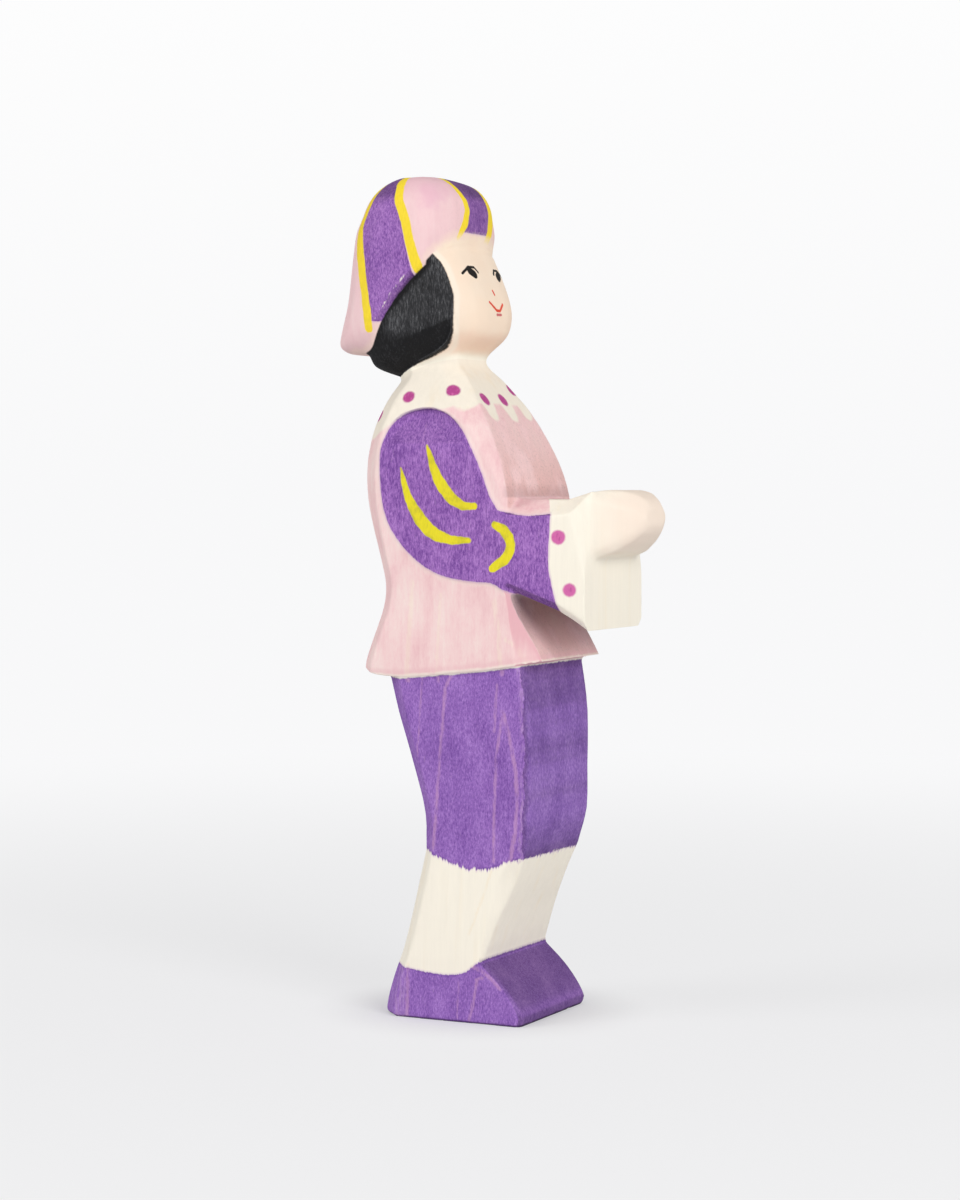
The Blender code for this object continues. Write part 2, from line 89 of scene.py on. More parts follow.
# The flat knife cuts in the side of the hair: the lines where they begin, each point forward and
# up, and how fast the cuts deepen from there
HAIR_RIDGE = ((-7.0, 93.0), (-5.5, 101.4), (-4.7, 105.9), (-4.2, 110.0), (-3.4, 116.0))
HAIR_FOLD = ((-15.5, 90.0), (-13.8, 96.3), (-12.8, 97.5), (-11.6, 98.5), (-8.6, 99.75),
             (-5.5, 101.3), (-3.2, 102.2), (-0.8, 103.3), (4.0, 105.2))
HAIR_FRONT_SLOPE = 0.14
HAIR_LOW_SLOPE = 0.36

# Cutting: how far the cutters reach, and how near two sections lie along their seam
REACH = 60.0
NEAR = 0.42
SEAM = 0.3

# A viewpoint in metres, and a lens on a frame of 960 x 1200 pixels. They were fitted to the
# photograph for a figure 125 mm tall. The photograph hardly decides the lens, which was chosen
CAMERA_AT = (-0.3742, -0.1861, 0.0780)
CAMERA_TO = (0.0, 0.00046, 0.0616)
FOCAL_PIXELS = 2793
FRAME_HEIGHT = 1200
SENSOR = 36.0
CLIP_START = 0.01

# Light and backdrop
KEY_PLACE = (-0.43, -0.72, 0.45)
KEY_POWER = 4.4
SIDE_PLACE = (-0.60, 0.60, 0.45)
SIDE_POWER = 2.93
LAMP_SIZE = 0.50
LAMP_AIM = (0, 0, 0.06)
FILL_COLOUR = (1.0, 1.0, 1.0)
FILL_STRENGTH = 0.42
HORIZON_COLOUR = (0.940, 0.940, 0.948)
BACKDROP_COLOUR = (0.993, 0.993, 0.993)
BACKDROP_RISE = 0.22
FLOOR_COLOUR = (0.80, 0.80, 0.81)
FLOOR_HALF = 6
FLOOR_LIFT = (0.30, 0.68, 1.0)
FLOOR_REACH = (0.010, 0.027, 0.42)

# The surface: the angle in degrees from which an edge stays sharp, the matt finish, and how far the
# grain stands up, in metres
SHARP = 50
ROUGHNESS = 0.66
SPECULAR = 0.2
GRAIN_STRENGTH = 0.35
GRAIN_HEIGHT = 0.00005

# Stains, linear
CREAM = (0.965, 0.905, 0.780)
CREAM_WARM = (0.945, 0.840, 0.660)
PURPLE_DEEP = (0.166, 0.065, 0.325)
PURPLE = (0.294, 0.137, 0.486)
PURPLE_PALE = (0.452, 0.245, 0.650)
LAVENDER = (0.600, 0.380, 0.640)
RING_PINK = (0.620, 0.340, 0.560)
PINK = (0.915, 0.645, 0.640)
PINK_DEEP = (0.800, 0.440, 0.480)
PINK_PALE = (0.950, 0.790, 0.740)
DUSKY = (0.790, 0.500, 0.478)
PEACH = (0.970, 0.785, 0.620)
BLUSH = (0.920, 0.580, 0.430)
FLESH = (0.975, 0.815, 0.690)
BLACK_DEEP = (0.008, 0.008, 0.009)
BLACK = (0.031, 0.031, 0.034)
BLACK_PALE = (0.130, 0.132, 0.138)
BLACK_RING = (0.20, 0.20, 0.21)
BLACK_WORN = (0.25, 0.25, 0.26)
HAT_PINK = (0.890, 0.610, 0.640)
HAT_BLOTCH = (0.800, 0.440, 0.560)
HAT_TOP = (0.820, 0.500, 0.580)
YELLOW = (0.950, 0.715, 0.038)
STROKE = (0.830, 0.720, 0.024)
OLIVE = (0.560, 0.500, 0.035)
MAGENTA = (0.680, 0.150, 0.410)
MAGENTA_DEEP = (0.470, 0.065, 0.270)
INK = (0.012, 0.010, 0.010)
RED_INK = (0.780, 0.080, 0.040)
LIP_INK = (0.640, 0.170, 0.170)

# Tints that multiply a stain
CORNER_TINT = (0.93, 1.0, 0.97)
COLLAR_TINT = (0.955, 0.935, 0.930)
SLEEVE_TINT = (1.03, 0.93, 0.94)
BAND_TINT = (1.08, 1.0, 0.95)

# The lists of points from here on hold places measured in the photograph through that camera and
# carried onto the sections. What the photograph doesn't show is guessed

# Brush strokes on the sleeves in side view, each point forward, up and how wide to each side
SLEEVE_ARCS = (
    ((-7.8, 81.3, 0.15), (-7.3, 79.2, 0.45), (-6.7, 77.3, 0.65), (-5.8, 75.6, 0.82), (-4.6, 73.8, 1.0),
     (-3.1, 72.2, 1.0), (-1.8, 71.4, 0.9), (0.6, 70.75, 0.65), (3.4, 70.75, 0.42)),
    ((-3.5, 84.6, 0.15), (-3.05, 83.4, 0.40), (-2.5, 81.7, 0.62), (-1.8, 80.0, 0.80), (-0.8, 78.4, 0.90),
     (0.6, 76.8, 0.85), (2.4, 75.75, 0.65), (4.3, 75.7, 0.50)),
    ((7.6, 73.0, 0.55), (8.9, 72.4, 0.75), (9.8, 71.2, 0.78), (10.1, 70.2, 0.72), (9.9, 69.1, 0.75),
     (9.1, 67.9, 0.75), (7.2, 66.7, 0.60)),
)

# Dots: across, forward and up, and how wide to each side. Those on the sides are on both sides
SIDE_DOTS = ((10.7, 17.4, 71.3, 1.05), (10.5, 19.1, 63.75, 0.98),
             (8.7, -0.5, 92.7, 1.10), (9.4, -7.5, 91.8, 0.95), (7.8, -13.2, 89.1, 0.95))
FRONT_DOTS = ((-5.2, 2.95, 91.45, 1.12), (0.9, 2.95, 91.5, 1.12), (6.3, 1.66, 93.1, 1.10),
              (0.0, -14.2, 88.6, 0.90))

# Tips of the collar that hang down over the chest, from each front dot
COLLAR_TIPS = (((-5.2, 3.0, 91.3, 2.2), (-5.3, 4.5, 89.6, 1.45)),
               ((0.9, 3.0, 91.3, 2.2), (1.25, 4.55, 89.5, 1.40)),
               ((6.3, 2.4, 92.3, 2.2), (6.6, 4.1, 89.8, 1.45)))
COLLAR_EDGE = ((-30.0, 84.8), (-16.0, 85.6), (-13.6, 85.6), (-11.0, 87.0), (-8.5, 88.6),
               (-5.0, 89.5), (-2.0, 89.8), (0.2, 90.2), (2.0, 89.6), (3.0, 90.2), (3.6, 90.9),
               (30.0, 90.9))

# The top of the forehead's paint in side view, above the hat's own edge
FOREHEAD = ((-30.0, 60.0), (-6.0, 105.0), (-4.4, 111.7), (-3.4, 113.0), (-2.3, 114.2),
            (-1.4, 115.1), (-0.8, 115.8), (0.4, 116.6), (30.0, 140.0))

# Where the stain of the breeches pooled along their front corners: up and forward
BREECHES_CORNER = ((20.0, 10.6), (22.5, 10.9), (28.8, 11.75), (39.0, 12.15), (47.7, 11.9), (52.0, 11.45))

# Yellow lines over the hat: across, forward and up, and how wide to each side
HAT_BACK_LINE = ((10.0, -13.9, 102.0, 0.65), (10.4, -14.0, 104.4, 0.70), (10.4, -14.5, 107.7, 0.72),
                 (10.2, -15.1, 111.8, 0.78), (9.6, -15.75, 115.2, 1.00), (8.8, -15.5, 117.9, 0.85),
                 (8.5, -14.5, 120.4, 0.80), (7.0, -13.6, 122.6, 0.75), (4.5, -13.2, 123.9, 0.75),
                 (0.0, -13.0, 124.5, 0.75))
HAT_SIDE_LINE = ((10.4, -5.3, 110.2, 0.80), (10.6, -6.0, 112.1, 0.75), (10.7, -6.8, 114.7, 0.75),
                 (10.5, -7.5, 117.7, 0.75), (9.9, -8.9, 120.7, 0.72), (7.6, -9.5, 123.4, 0.70),
                 (4.5, -9.7, 124.4, 0.70), (0.0, -9.8, 124.6, 0.70))
HAT_NEAR_LINE = ((-5.5, -1.2, 115.2, 0.42), (-4.8, -1.0, 116.4, 0.55), (-3.8, -0.9, 117.7, 0.62),
                 (-3.2, -0.95, 119.35, 0.62), (-3.4, -1.25, 120.8, 0.58), (-4.0, -2.2, 122.3, 0.52),
                 (-4.1, -3.5, 123.5, 0.45), (-3.0, -5.2, 124.2, 0.45), (-1.4, -7.0, 124.6, 0.45),
                 (0.0, -9.3, 124.6, 0.45))
HAT_FAR_LINE = ((3.0, -1.0, 115.0, 0.75), (4.1, -0.9, 116.85, 1.05), (5.3, -1.3, 119.1, 1.20),
                (4.8, -1.5, 120.9, 1.05), (4.3, -2.6, 122.4, 0.80), (4.0, -4.0, 123.5, 0.65),
                (3.8, -6.0, 124.3, 0.60), (3.6, -9.3, 124.6, 0.60))
SIDE_BAND_BACK = ((101.7, -13.7), (107.6, -14.0), (111.8, -14.6), (115.1, -15.3), (117.9, -15.2),
                  (120.4, -14.4), (123.0, -13.3), (124.7, -13.0))
SIDE_BAND_FRONT = ((101.7, -3.6), (110.6, -6.55), (112.1, -6.95), (114.7, -7.55), (117.7, -8.25),
                   (120.7, -9.5), (123.6, -10.1), (124.7, -10.3))
FRONT_BAND_NEAR = ((115.2, -5.4), (116.4, -4.8), (117.7, -3.8), (119.35, -3.2), (120.8, -3.4), (122.3, -4.0),
                   (123.5, -4.1), (124.2, -3.0), (124.7, -1.0))
FRONT_BAND_FAR = ((115.0, 3.0), (116.85, 4.1), (119.1, 5.4), (120.9, 4.8), (122.4, 4.3),
                  (123.5, 4.0), (124.7, 3.6))
FRONT_BAND_FOOT = 116.1
FRONT_BAND_BACK = -9.6
SIDE_BAND_FOOT = 103.0

# The brushed lower edge of the breeches
KNEE_RAGGED = 0.36
KNEE_GRAIN = (4.6, 4.6, 0.15)
LEG_RING = 0.32

# Growth rings where they come out at the side of the block: forward and up, and how faint
RINGS = (
    (((0.6, 51.5), (-0.75, 49.1), (-1.1, 44.4), (-1.9, 37.0), (-2.4, 30.3), (-3.0, 25.3)), 0.00),
    (((-4.5, 51.0), (-5.0, 44.0), (-5.6, 36.7)), 0.14),
    (((7.75, 49.8), (7.4, 45.4), (7.3, 43.0)), 0.06),
    (((8.7, 45.9), (8.0, 42.0), (7.5, 38.8), (7.1, 31.0), (6.9, 23.9)), 0.02),
    (((8.7, 45.9), (9.8, 41.9), (10.6, 37.5), (10.85, 33.2), (10.5, 28.5), (9.6, 24.2)), -0.06),
    (((-4.4, 22.5), (-5.6, 17.0), (-7.1, 11.2)), 0.06),
    (((6.6, 22.5), (5.6, 19.1), (4.6, 16.5), (3.3, 13.1)), 0.04),
    (((-6.7, 8.0), (-6.95, 0.2)), -0.05),
    (((1.7, 6.0), (1.4, 0.6)), 0.14),
    (((4.7, 6.5), (4.1, 3.4), (3.4, 0.2)), 0.0),
    (((4.5, 6.5), (5.5, 6.9)), 0.0),
    (((3.9, 8.5), (5.5, 7.8), (7.2, 6.7), (8.4, 5.5)), -0.05),
    (((-9.2, 88.6), (-8.7, 85.0), (-8.0, 81.0), (-7.7, 76.0)), 0.14),
    (((-4.14, 90.5), (-4.3, 87.0), (-4.2, 83.9)), 0.10),
    (((-2.0, 70.0), (-2.2, 65.6)), 0.13),
    (((-6.0, 64.5), (-6.4, 58.0), (-6.9, 50.0)), -0.10),
    (((-1.3, 62.8), (-1.6, 58.0), (-1.9, 50.0)), 0.04),
    (((7.4, 62.0), (8.2, 57.0), (8.5, 51.5)), -0.15),
    (((9.4, 56.4), (10.8, 55.6), (12.3, 53.4), (13.2, 51.6)), -0.05),
    (((-5.5, 101.4), (-4.7, 105.9), (-4.2, 110.0)), 0.14),
)

# The marks of the face on the far side of the nose: across and up. The eyes are on both sides
EYE_LID = ((2.6, 110.30), (3.3, 110.98), (4.9, 110.95), (5.6, 110.55), (6.6, 109.90))
EYE = ((4.75, 110.32), (3.95, 109.92))
NOSE = ((0.05, 107.65), (0.30, 107.15))
MOUTH = ((-2.1, 105.85), (-0.2, 104.72), (0.9, 104.72), (2.15, 105.75))
LIP = ((-0.2, 104.10), (1.2, 104.15))

# Where the cuff's edge slants back over the tops of the arms, and how near the side a stroke stays
CUFF_ROUND = 0.7
CUFF_LEAN = 0.5
CUFF_TOP = (73.4, 74.6)
ARC_INNER = 8.5

# The flush on the far cheek, with heights pressed to a share, and the blotch on the hat
CHEEK_STRETCH = (1.0, 1.0, 0.8)
CHEEK_PLACE = (8.5, -0.5, 82.8)
BLOTCH_PLACE = (8.3, 4.2, 121.5)


def points_of(mesh):
    """A mesh's points as rows."""
    values = np.empty(len(mesh.vertices) * 3)
    mesh.vertices.foreach_get("co", values)
    return values.reshape(-1, 3)


def corners_of(mesh):
    """A triangle mesh's corner numbers as rows."""
    values = np.empty(len(mesh.polygons) * 3, dtype=int)
    mesh.polygons.foreach_get("vertices", values)
    return values.reshape(-1, 3)


def mesh_from(name, points, faces):
    mesh = bpy.data.meshes.new(name)
    mesh.from_pydata([tuple(point) for point in points], [], [tuple(face) for face in faces])
    mesh.update()
    return mesh


def shown(name, mesh):
    """An object of a mesh, in the scene."""
    piece = bpy.data.objects.new(name, mesh)
    bpy.context.scene.collection.objects.link(piece)
    return piece


def evaluated(holder):
    """The mesh of an object with its modifiers applied. The object is removed."""
    bpy.context.view_layer.update()
    graph = bpy.context.evaluated_depsgraph_get()
    mesh = bpy.data.meshes.new_from_object(holder.evaluated_get(graph))
    bpy.data.objects.remove(holder)
    return mesh


def section(node):
    """A packed section in millimetres, with its corners joined and its faces as triangles."""
    shaper = bmesh.new()
    shaper.from_mesh(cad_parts[node].data)
    bmesh.ops.remove_doubles(shaper, verts=shaper.verts, dist=WELD * MM)
    bmesh.ops.triangulate(shaper, faces=shaper.faces)
    mesh = bpy.data.meshes.new(node + "_section")
    shaper.to_mesh(mesh)
    shaper.free()
    return points_of(mesh) / MM, corners_of(mesh)


SECTIONS = {node: section(node) for node in sorted(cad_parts)}
TREES = {node: BVHTree.FromPolygons(points.tolist(), corners.tolist())
         for node, (points, corners) in SECTIONS.items()}


def swollen(points, corners, distance):
    """Points moved so that every face around them lies a distance further out."""
    a, b, c = (points[corners[:, index]] for index in range(3))
    normals = np.cross(b - a, c - a)
    lengths = np.linalg.norm(normals, axis=1, keepdims=True)
    normals = normals / np.maximum(lengths, 1e-12)
    matrices = np.zeros((len(points), 3, 3))
    wanted = np.zeros((len(points), 3))
    for index, (here, left, right) in enumerate(((a, b, c), (b, c, a), (c, a, b))):
        one, two = left - here, right - here
        sides = np.linalg.norm(one, axis=1) * np.linalg.norm(two, axis=1)
        cosine = (one * two).sum(1) / np.maximum(sides, 1e-12)
        weight = np.arccos(np.clip(cosine, -1, 1)) * (lengths[:, 0] > 1e-4)
        outer = weight[:, None, None] * normals[:, :, None] * normals[:, None, :]
        np.add.at(matrices, corners[:, index], outer)
        np.add.at(wanted, corners[:, index], weight[:, None] * normals * distance)
    matrices += np.eye(3) * 0.004
    moves = np.linalg.solve(matrices, wanted[:, :, None])[:, :, 0]
    sizes = np.linalg.norm(moves, axis=1, keepdims=True)
    return points + moves * np.minimum(1, 2 * distance / np.maximum(sizes, 1e-12))


def joined_skin():
    """All sections swollen until they touch and remeshed as one skin."""
    points, faces, start = [], [], 0
    for node, (places, corners) in SECTIONS.items():
        points.append(swollen(places, corners, SWELL))
        faces.append(corners + start)
        start += len(places)
    holder = shown("skin", mesh_from("skin", np.vstack(points), np.vstack(faces)))
    remesh = holder.modifiers.new("remesh", "REMESH")
    remesh.mode = "VOXEL"
    remesh.voxel_size = VOXEL
    remesh.adaptivity = 0.0
    return evaluated(holder)


class Skin:
    """The wooden skin, with the numbers that its smoothing needs."""

    def __init__(self, mesh):
        self.mesh = mesh
        self.points = points_of(mesh)
        edges = np.empty(len(mesh.edges) * 2, dtype=int)
        mesh.edges.foreach_get("vertices", edges)
        self.edges = edges.reshape(-1, 2)
        self.count = np.bincount(edges, minlength=len(self.points))[:, None]

    def normals(self):
        self.mesh.vertices.foreach_set("co", self.points.ravel())
        self.mesh.update()
        values = np.empty(len(self.points) * 3)
        self.mesh.vertex_normals.foreach_get("vector", values)
        return values.reshape(-1, 3)

    def average(self, values):
        """The mean of each point's neighbours."""
        total = np.empty_like(values)
        one, two = self.edges.T
        for column in range(values.shape[1]):
            total[:, column] = (np.bincount(one, values[two, column], len(values))
                                + np.bincount(two, values[one, column], len(values)))
        return total / self.count

    def smooth(self, amount, steps):
        for step in range(steps):
            self.points += amount * 0.5 * (self.average(self.points) - self.points)


def eased(values, low, high):
    """0 below low and 1 above high, with a smooth step between."""
    t = np.clip((values - low) / (high - low), 0, 1)
    return t * t * (3 - 2 * t)


def softness(points):
    """How much each place was sanded: little on the body, more on the head and the hands."""
    forward, height = -points[:, 1], points[:, 2]
    collar = eased(height, low_of("collar") - 1, low_of("collar") + 4)
    head = eased(height, low_of("head") - 0.5, low_of("head") + 2.5)
    hands = eased(forward, front_of("cuffs") - 4.5, front_of("cuffs") + 0.5)
    hands *= (1 - collar) * (0.35 + 0.65 * eased(height, low_of("hands") - 1.0, low_of("hands") + 2.0))
    calves = SOFT_CALF * eased(height, low_of("stockings") + 1, low_of("stockings") + 4)
    calves *= 1 - eased(height, high_of("stockings") - 4, high_of("stockings"))
    shoulders = eased(height, *SHOULDERS) * (1 - collar)
    return (CRISP + 0.25 * shoulders + (SOFT_COLLAR - CRISP) * collar + (SOFT_HEAD - SOFT_COLLAR) * head
            + (SOFT_HAND - CRISP) * hands + calves)[:, None]


def hair_facets(points, normals):
    """How deep the flat knife cuts in the side of the hair go."""
    side = side_view(points)
    inside = eased(distance_to(side, LINES["hairline"]), -0.1, 0.3)
    inside *= eased(-distance_to(side, LINES["rim"]), -0.1, 0.3)
    inside *= eased(distance_to(side, LINES["neck"]), 0.0, 0.3)
    front = np.maximum(-distance_to(side, np.array(HAIR_RIDGE)), 0)
    low = np.maximum(-distance_to(side, np.array(HAIR_FOLD)), 0)
    return inside * np.abs(normals[:, 0]) * (HAIR_FRONT_SLOPE * front + HAIR_LOW_SLOPE * low)


def rim_groove(points):
    """How deep the face is undercut along the front of the hat's rim."""
    side = side_view(points)
    under = -distance_to(side, LINES["rim"])
    groove = np.exp(-((under - 0.45) / 0.45) ** 2) * (under > -1)
    return RIM_GROOVE * groove * eased(-distance_to(side, LINES["hairline"]), 0.2, 1.2)


def low_of(node):
    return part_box(node)[0].z / MM


def high_of(node):
    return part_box(node)[1].z / MM


def front_of(node):
    return -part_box(node)[0].y / MM


def carved(points, scale, seed):
    """Smooth bumps between -1 and 1, one for each point."""
    stretch = np.array(scale)
    return np.array([noise.noise(Vector(place) + Vector((seed, seed, seed))) for place in points * stretch])


def make_skin():
    skin = Skin(joined_skin())
    skin.points -= SWELL * skin.normals()
    flush = np.abs(skin.points[:, 0]) > SLEEVE_HALF
    extra = np.abs(skin.points[flush, 0]) - SLEEVE_HALF
    skin.points[flush, 0] = np.sign(skin.points[flush, 0]) * (SLEEVE_HALF + 0.2 * extra)
    skin.smooth(softness(skin.points), SMOOTH_STEPS)
    normals = skin.normals()
    skin.points[:, 0] -= np.sign(skin.points[:, 0]) * hair_facets(skin.points, normals)
    skin.points -= normals * rim_groove(skin.points)[:, None]
    skin.smooth(0.3, 4)
    normals = skin.normals()
    marks = KNIFE_MARKS * carved(skin.points, (0.30, 0.30, 0.16), 3.7)
    marks += SAW_MARKS * carved(skin.points, (1.6, 1.6, 0.35), 9.1)
    skin.points += normals * marks[:, None]
    low = np.array(cad_box[0]) / MM + 0.01
    high = np.array(cad_box[1]) / MM - 0.01
    skin.points = np.clip(skin.points, low, high)
    skin.points[:, 2] = np.where(skin.points[:, 2] < 0.06, 0.0, skin.points[:, 2])
    normals = skin.normals()
    blurred = skin.points.copy()
    for step in range(WEAR_STEPS):
        blurred += 0.5 * (skin.average(blurred) - blurred)
    wear = ((skin.points - blurred) * normals).sum(1, keepdims=True)
    for step in range(3):
        wear += 0.5 * (skin.average(wear) - wear)
    return skin, wear[:, 0]


def side_view(points):
    """How far forward and how high each point lies."""
    return np.column_stack((-points[:, 1], points[:, 2]))


def seam_line(lower, upper, along):
    """The line halfway between two groups of sections, in side view, sorted along one direction."""
    found = []
    for group, others in ((lower, upper), (upper, lower)):
        for node in group:
            for place in SECTIONS[node][0]:
                for other in others:
                    near, normal, index, distance = TREES[other].find_nearest(Vector(place), NEAR)
                    if near is not None:
                        middle = (Vector(place) + near) / 2
                        found.append((-middle.y, middle.z))
    found = np.array(sorted(found, key=lambda point: point[along]))
    steps = np.concatenate(([0], np.cumsum(np.diff(found[:, along]) > 0.15)))
    return np.array([found[steps == step].mean(0) for step in range(steps[-1] + 1)])


def run_out(line):
    """A line with both its ends run on straight, far past the block."""
    before = line[0] - line[min(3, len(line) - 1)]
    after = line[-1] - line[-4]
    first = line[0] + before / np.linalg.norm(before) * REACH
    last = line[-1] + after / np.linalg.norm(after) * REACH
    return np.vstack((first, line, last))


def sleeve_line():
    """The closed outline of the sleeves, from the flat inner face of one of them."""
    points, corners = SECTIONS["sleeve_left"]
    inner = points[:, 0].min()
    flat = [face for face in corners if np.all(points[face, 0] < inner + 0.01)]
    sides = {}
    for face in flat:
        for start, end in zip(face, np.roll(face, -1)):
            if (end, start) in sides:
                del sides[(end, start)]
            else:
                sides[(start, end)] = True
    following = dict(sides.keys())
    here = next(iter(following))
    loop = []
    while following:
        loop.append(here)
        here = following.pop(here)
    outline = side_view(points[loop])
    forward, height = outline.T
    area = 0.5 * np.sum(forward * np.roll(height, -1) - height * np.roll(forward, -1))
    outline = outline if area > 0 else outline[::-1]
    after = np.roll(outline, -1, axis=0) - outline
    after /= np.maximum(np.linalg.norm(after, axis=1, keepdims=True), 1e-9)
    mean = after + np.roll(after, 1, axis=0)
    mean /= np.linalg.norm(mean, axis=1, keepdims=True)
    return outline + np.column_stack((mean[:, 1], -mean[:, 0])) * SEAM / 2, inner - SEAM / 2


def distance_to(points, line, closed=False):
    """How far side-view points lie from a line, positive on its left, or inside a closed one."""
    ends = np.roll(line, -1, axis=0) if closed else line[1:]
    starts = line if closed else line[:-1]
    best = np.full(len(points), np.inf)
    side = np.zeros(len(points))
    for start, end in zip(starts, ends):
        along = end - start
        length = max(along @ along, 1e-12)
        offset = points - start
        share = np.clip(offset @ along / length, 0, 1)
        away = offset - share[:, None] * along
        square = (away * away).sum(1)
        cross = along[0] * offset[:, 1] - along[1] * offset[:, 0]
        nearer = square < best - 1e-9
        tied = (np.abs(square - best) <= 1e-9) & (np.abs(cross) > np.abs(side))
        side = np.where(nearer | tied, cross, side)
        best = np.minimum(best, square)
    return np.sqrt(best) * np.sign(side)


LINES = {
    "ankle": seam_line(["shoes"], ["stockings"], 0),
    "knee": seam_line(["stockings"], ["breeches"], 0),
    "hem": seam_line(["breeches"], ["jacket"], 0),
    "collar": seam_line(["jacket"], ["collar"], 0),
    "neck": seam_line(["collar"], ["head", "hair"], 0),
    "rim": seam_line(["head", "hair"], ["hat"], 0),
    "hairline": seam_line(["head"], ["hair"], 1),
    "cuff": seam_line(["sleeve_left", "jacket"], ["cuffs"], 1),
    "wrist": seam_line(["cuffs"], ["hands"], 1),
}
LINES = {name: run_out(line) for name, line in LINES.items()}
SLEEVE_OUTLINE, SLEEVE_INNER = sleeve_line()


def prism(name, outline, left, right):
    """A closed side-view outline drawn out across the width."""
    count = len(outline)
    points = [(x, -forward, height) for x in (left, right) for forward, height in outline]
    faces = [list(range(count)), list(range(2 * count - 1, count - 1, -1))]
    for index in range(count):
        after = (index + 1) % count
        faces.append([index, index + count, after + count, after])
    mesh = mesh_from(name, points, faces)
    shaper = bmesh.new()
    shaper.from_mesh(mesh)
    bmesh.ops.recalc_face_normals(shaper, faces=shaper.faces)
    shaper.to_mesh(mesh)
    shaper.free()
    return mesh


def left_of(name):
    """A cutter for everything on the left of a line that runs forward or upwards."""
    line = LINES[name]
    first, last = line[0], line[-1]
    along = last - first
    across = np.array((-along[1], along[0])) / np.linalg.norm(along) * 3 * REACH
    return prism(name + "_cutter", np.vstack((line, last + across, first + across)), -REACH, REACH)


def cut(mesh, cutter, operation):
    """What is left of one closed mesh after a cut by another."""
    holder = shown("cut", mesh)
    tool = shown("cutter", cutter)
    step = holder.modifiers.new("cut", "BOOLEAN")
    step.operation = operation
    step.solver = "MANIFOLD"
    step.object = tool
    result = evaluated(holder)
    bpy.data.objects.remove(tool)
    return result


def split(mesh, cutter):
    """The parts of a mesh inside and outside a cutter."""
    return cut(mesh, cutter, "INTERSECT"), cut(mesh, cutter, "DIFFERENCE")


def cut_pieces(skin_mesh):
    """The skin cut along the sections' lines, as a mesh for each section."""
    meshes = {}
    rest, meshes["shoes"] = split(skin_mesh, left_of("ankle"))
    rest, meshes["stockings"] = split(rest, left_of("knee"))
    rest, meshes["breeches"] = split(rest, left_of("hem"))
    for node, side in (("sleeve_right", -1), ("sleeve_left", 1)):
        outline = prism(node + "_cutter", SLEEVE_OUTLINE, side * SLEEVE_INNER, side * REACH)
        meshes[node], rest = split(rest, outline)
    head, rest = split(rest, left_of("collar"))
    meshes["jacket"], arms = split(rest, left_of("cuff"))
    meshes["cuffs"], meshes["hands"] = split(arms, left_of("wrist"))
    head, meshes["collar"] = split(head, left_of("neck"))
    meshes["hat"], head = split(head, left_of("rim"))
    meshes["hair"], meshes["head"] = split(head, left_of("hairline"))
    return meshes


def stroke(points, path):
    """How far inside a stroke points lie. A path's point is its place and its half width."""
    path = np.array(path)
    best = np.full(len(points), -np.inf)
    for start, end in zip(path[:-1], path[1:]):
        along = end[:-1] - start[:-1]
        share = np.clip((points - start[:-1]) @ along / max(along @ along, 1e-12), 0, 1)
        away = np.linalg.norm(points - start[:-1] - share[:, None] * along, axis=1)
        best = np.maximum(best, start[-1] + share * (end[-1] - start[-1]) - away)
    return best


def strokes(points, paths):
    return np.max([stroke(points, path) for path in paths], axis=0)


def dots(points, places):
    inside = [place[3] - np.linalg.norm(points - place[:3], axis=1) for place in np.array(places)]
    return np.max(inside, axis=0)


def along_height(height, line):
    """The value of a line that is keyed by height."""
    keys, values = zip(*line)
    return np.interp(height, keys, values)


class Places:
    """Where the points of a piece lie: each property is one attribute, in millimetres."""

    def __init__(self, points):
        self.points = points * (1, -1, 1)
        self.half = self.points * (0, 1, 1) + np.abs(self.points) * (1, 0, 0)
        self.side = self.points[:, 1:]

    def line(self, name):
        return distance_to(self.side, LINES[name])

    def sleeve(self):
        inside = distance_to(self.side, SLEEVE_OUTLINE, closed=True)
        return np.minimum(inside, self.half[:, 0] - SLEEVE_INNER)

    def cuff(self):
        """Behind the cuff's edge, which slants back over the tops of the arms."""
        inward = np.maximum(SLEEVE_HALF - CUFF_ROUND - self.half[:, 0], 0)
        lean = CUFF_LEAN * inward * eased(self.side[:, 1], *CUFF_TOP)
        leaning = self.side + np.column_stack((lean, np.zeros(len(lean))))
        return distance_to(leaning, LINES["cuff"])

    def collar(self):
        return np.maximum(distance_to(self.side, np.array(COLLAR_EDGE)), strokes(self.points, COLLAR_TIPS))

    def arcs(self):
        return np.minimum(strokes(self.side, SLEEVE_ARCS), self.half[:, 0] - ARC_INNER)

    def dots(self):
        return np.maximum(dots(self.half, SIDE_DOTS), dots(self.points, FRONT_DOTS))

    def hat_lines(self):
        return np.maximum(strokes(self.half, (HAT_BACK_LINE, HAT_SIDE_LINE)),
                          strokes(self.points, (HAT_NEAR_LINE, HAT_FAR_LINE)))

    def hat_bands(self):
        x, forward, height = self.points.T
        side = np.min((forward - along_height(height, SIDE_BAND_BACK),
                       along_height(height, SIDE_BAND_FRONT) - forward, height - SIDE_BAND_FOOT), axis=0)
        front = np.min((x - along_height(height, FRONT_BAND_NEAR), along_height(height, FRONT_BAND_FAR) - x,
                        height - FRONT_BAND_FOOT, forward - FRONT_BAND_BACK), axis=0)
        return np.maximum(side, front)

    def hat_edge(self):
        return np.minimum(self.line("rim"), distance_to(self.side, np.array(FOREHEAD)))

    def corner(self):
        return self.points[:, 1] - along_height(self.points[:, 2], BREECHES_CORNER)

    def rings(self):
        """How far from the nearest growth ring."""
        far = [np.abs(distance_to(self.side, np.array(line))) + faint for line, faint in RINGS]
        return np.min(far, axis=0)


def wanted_value(places, name):
    return getattr(places, name)() if hasattr(places, name) else places.line(name)


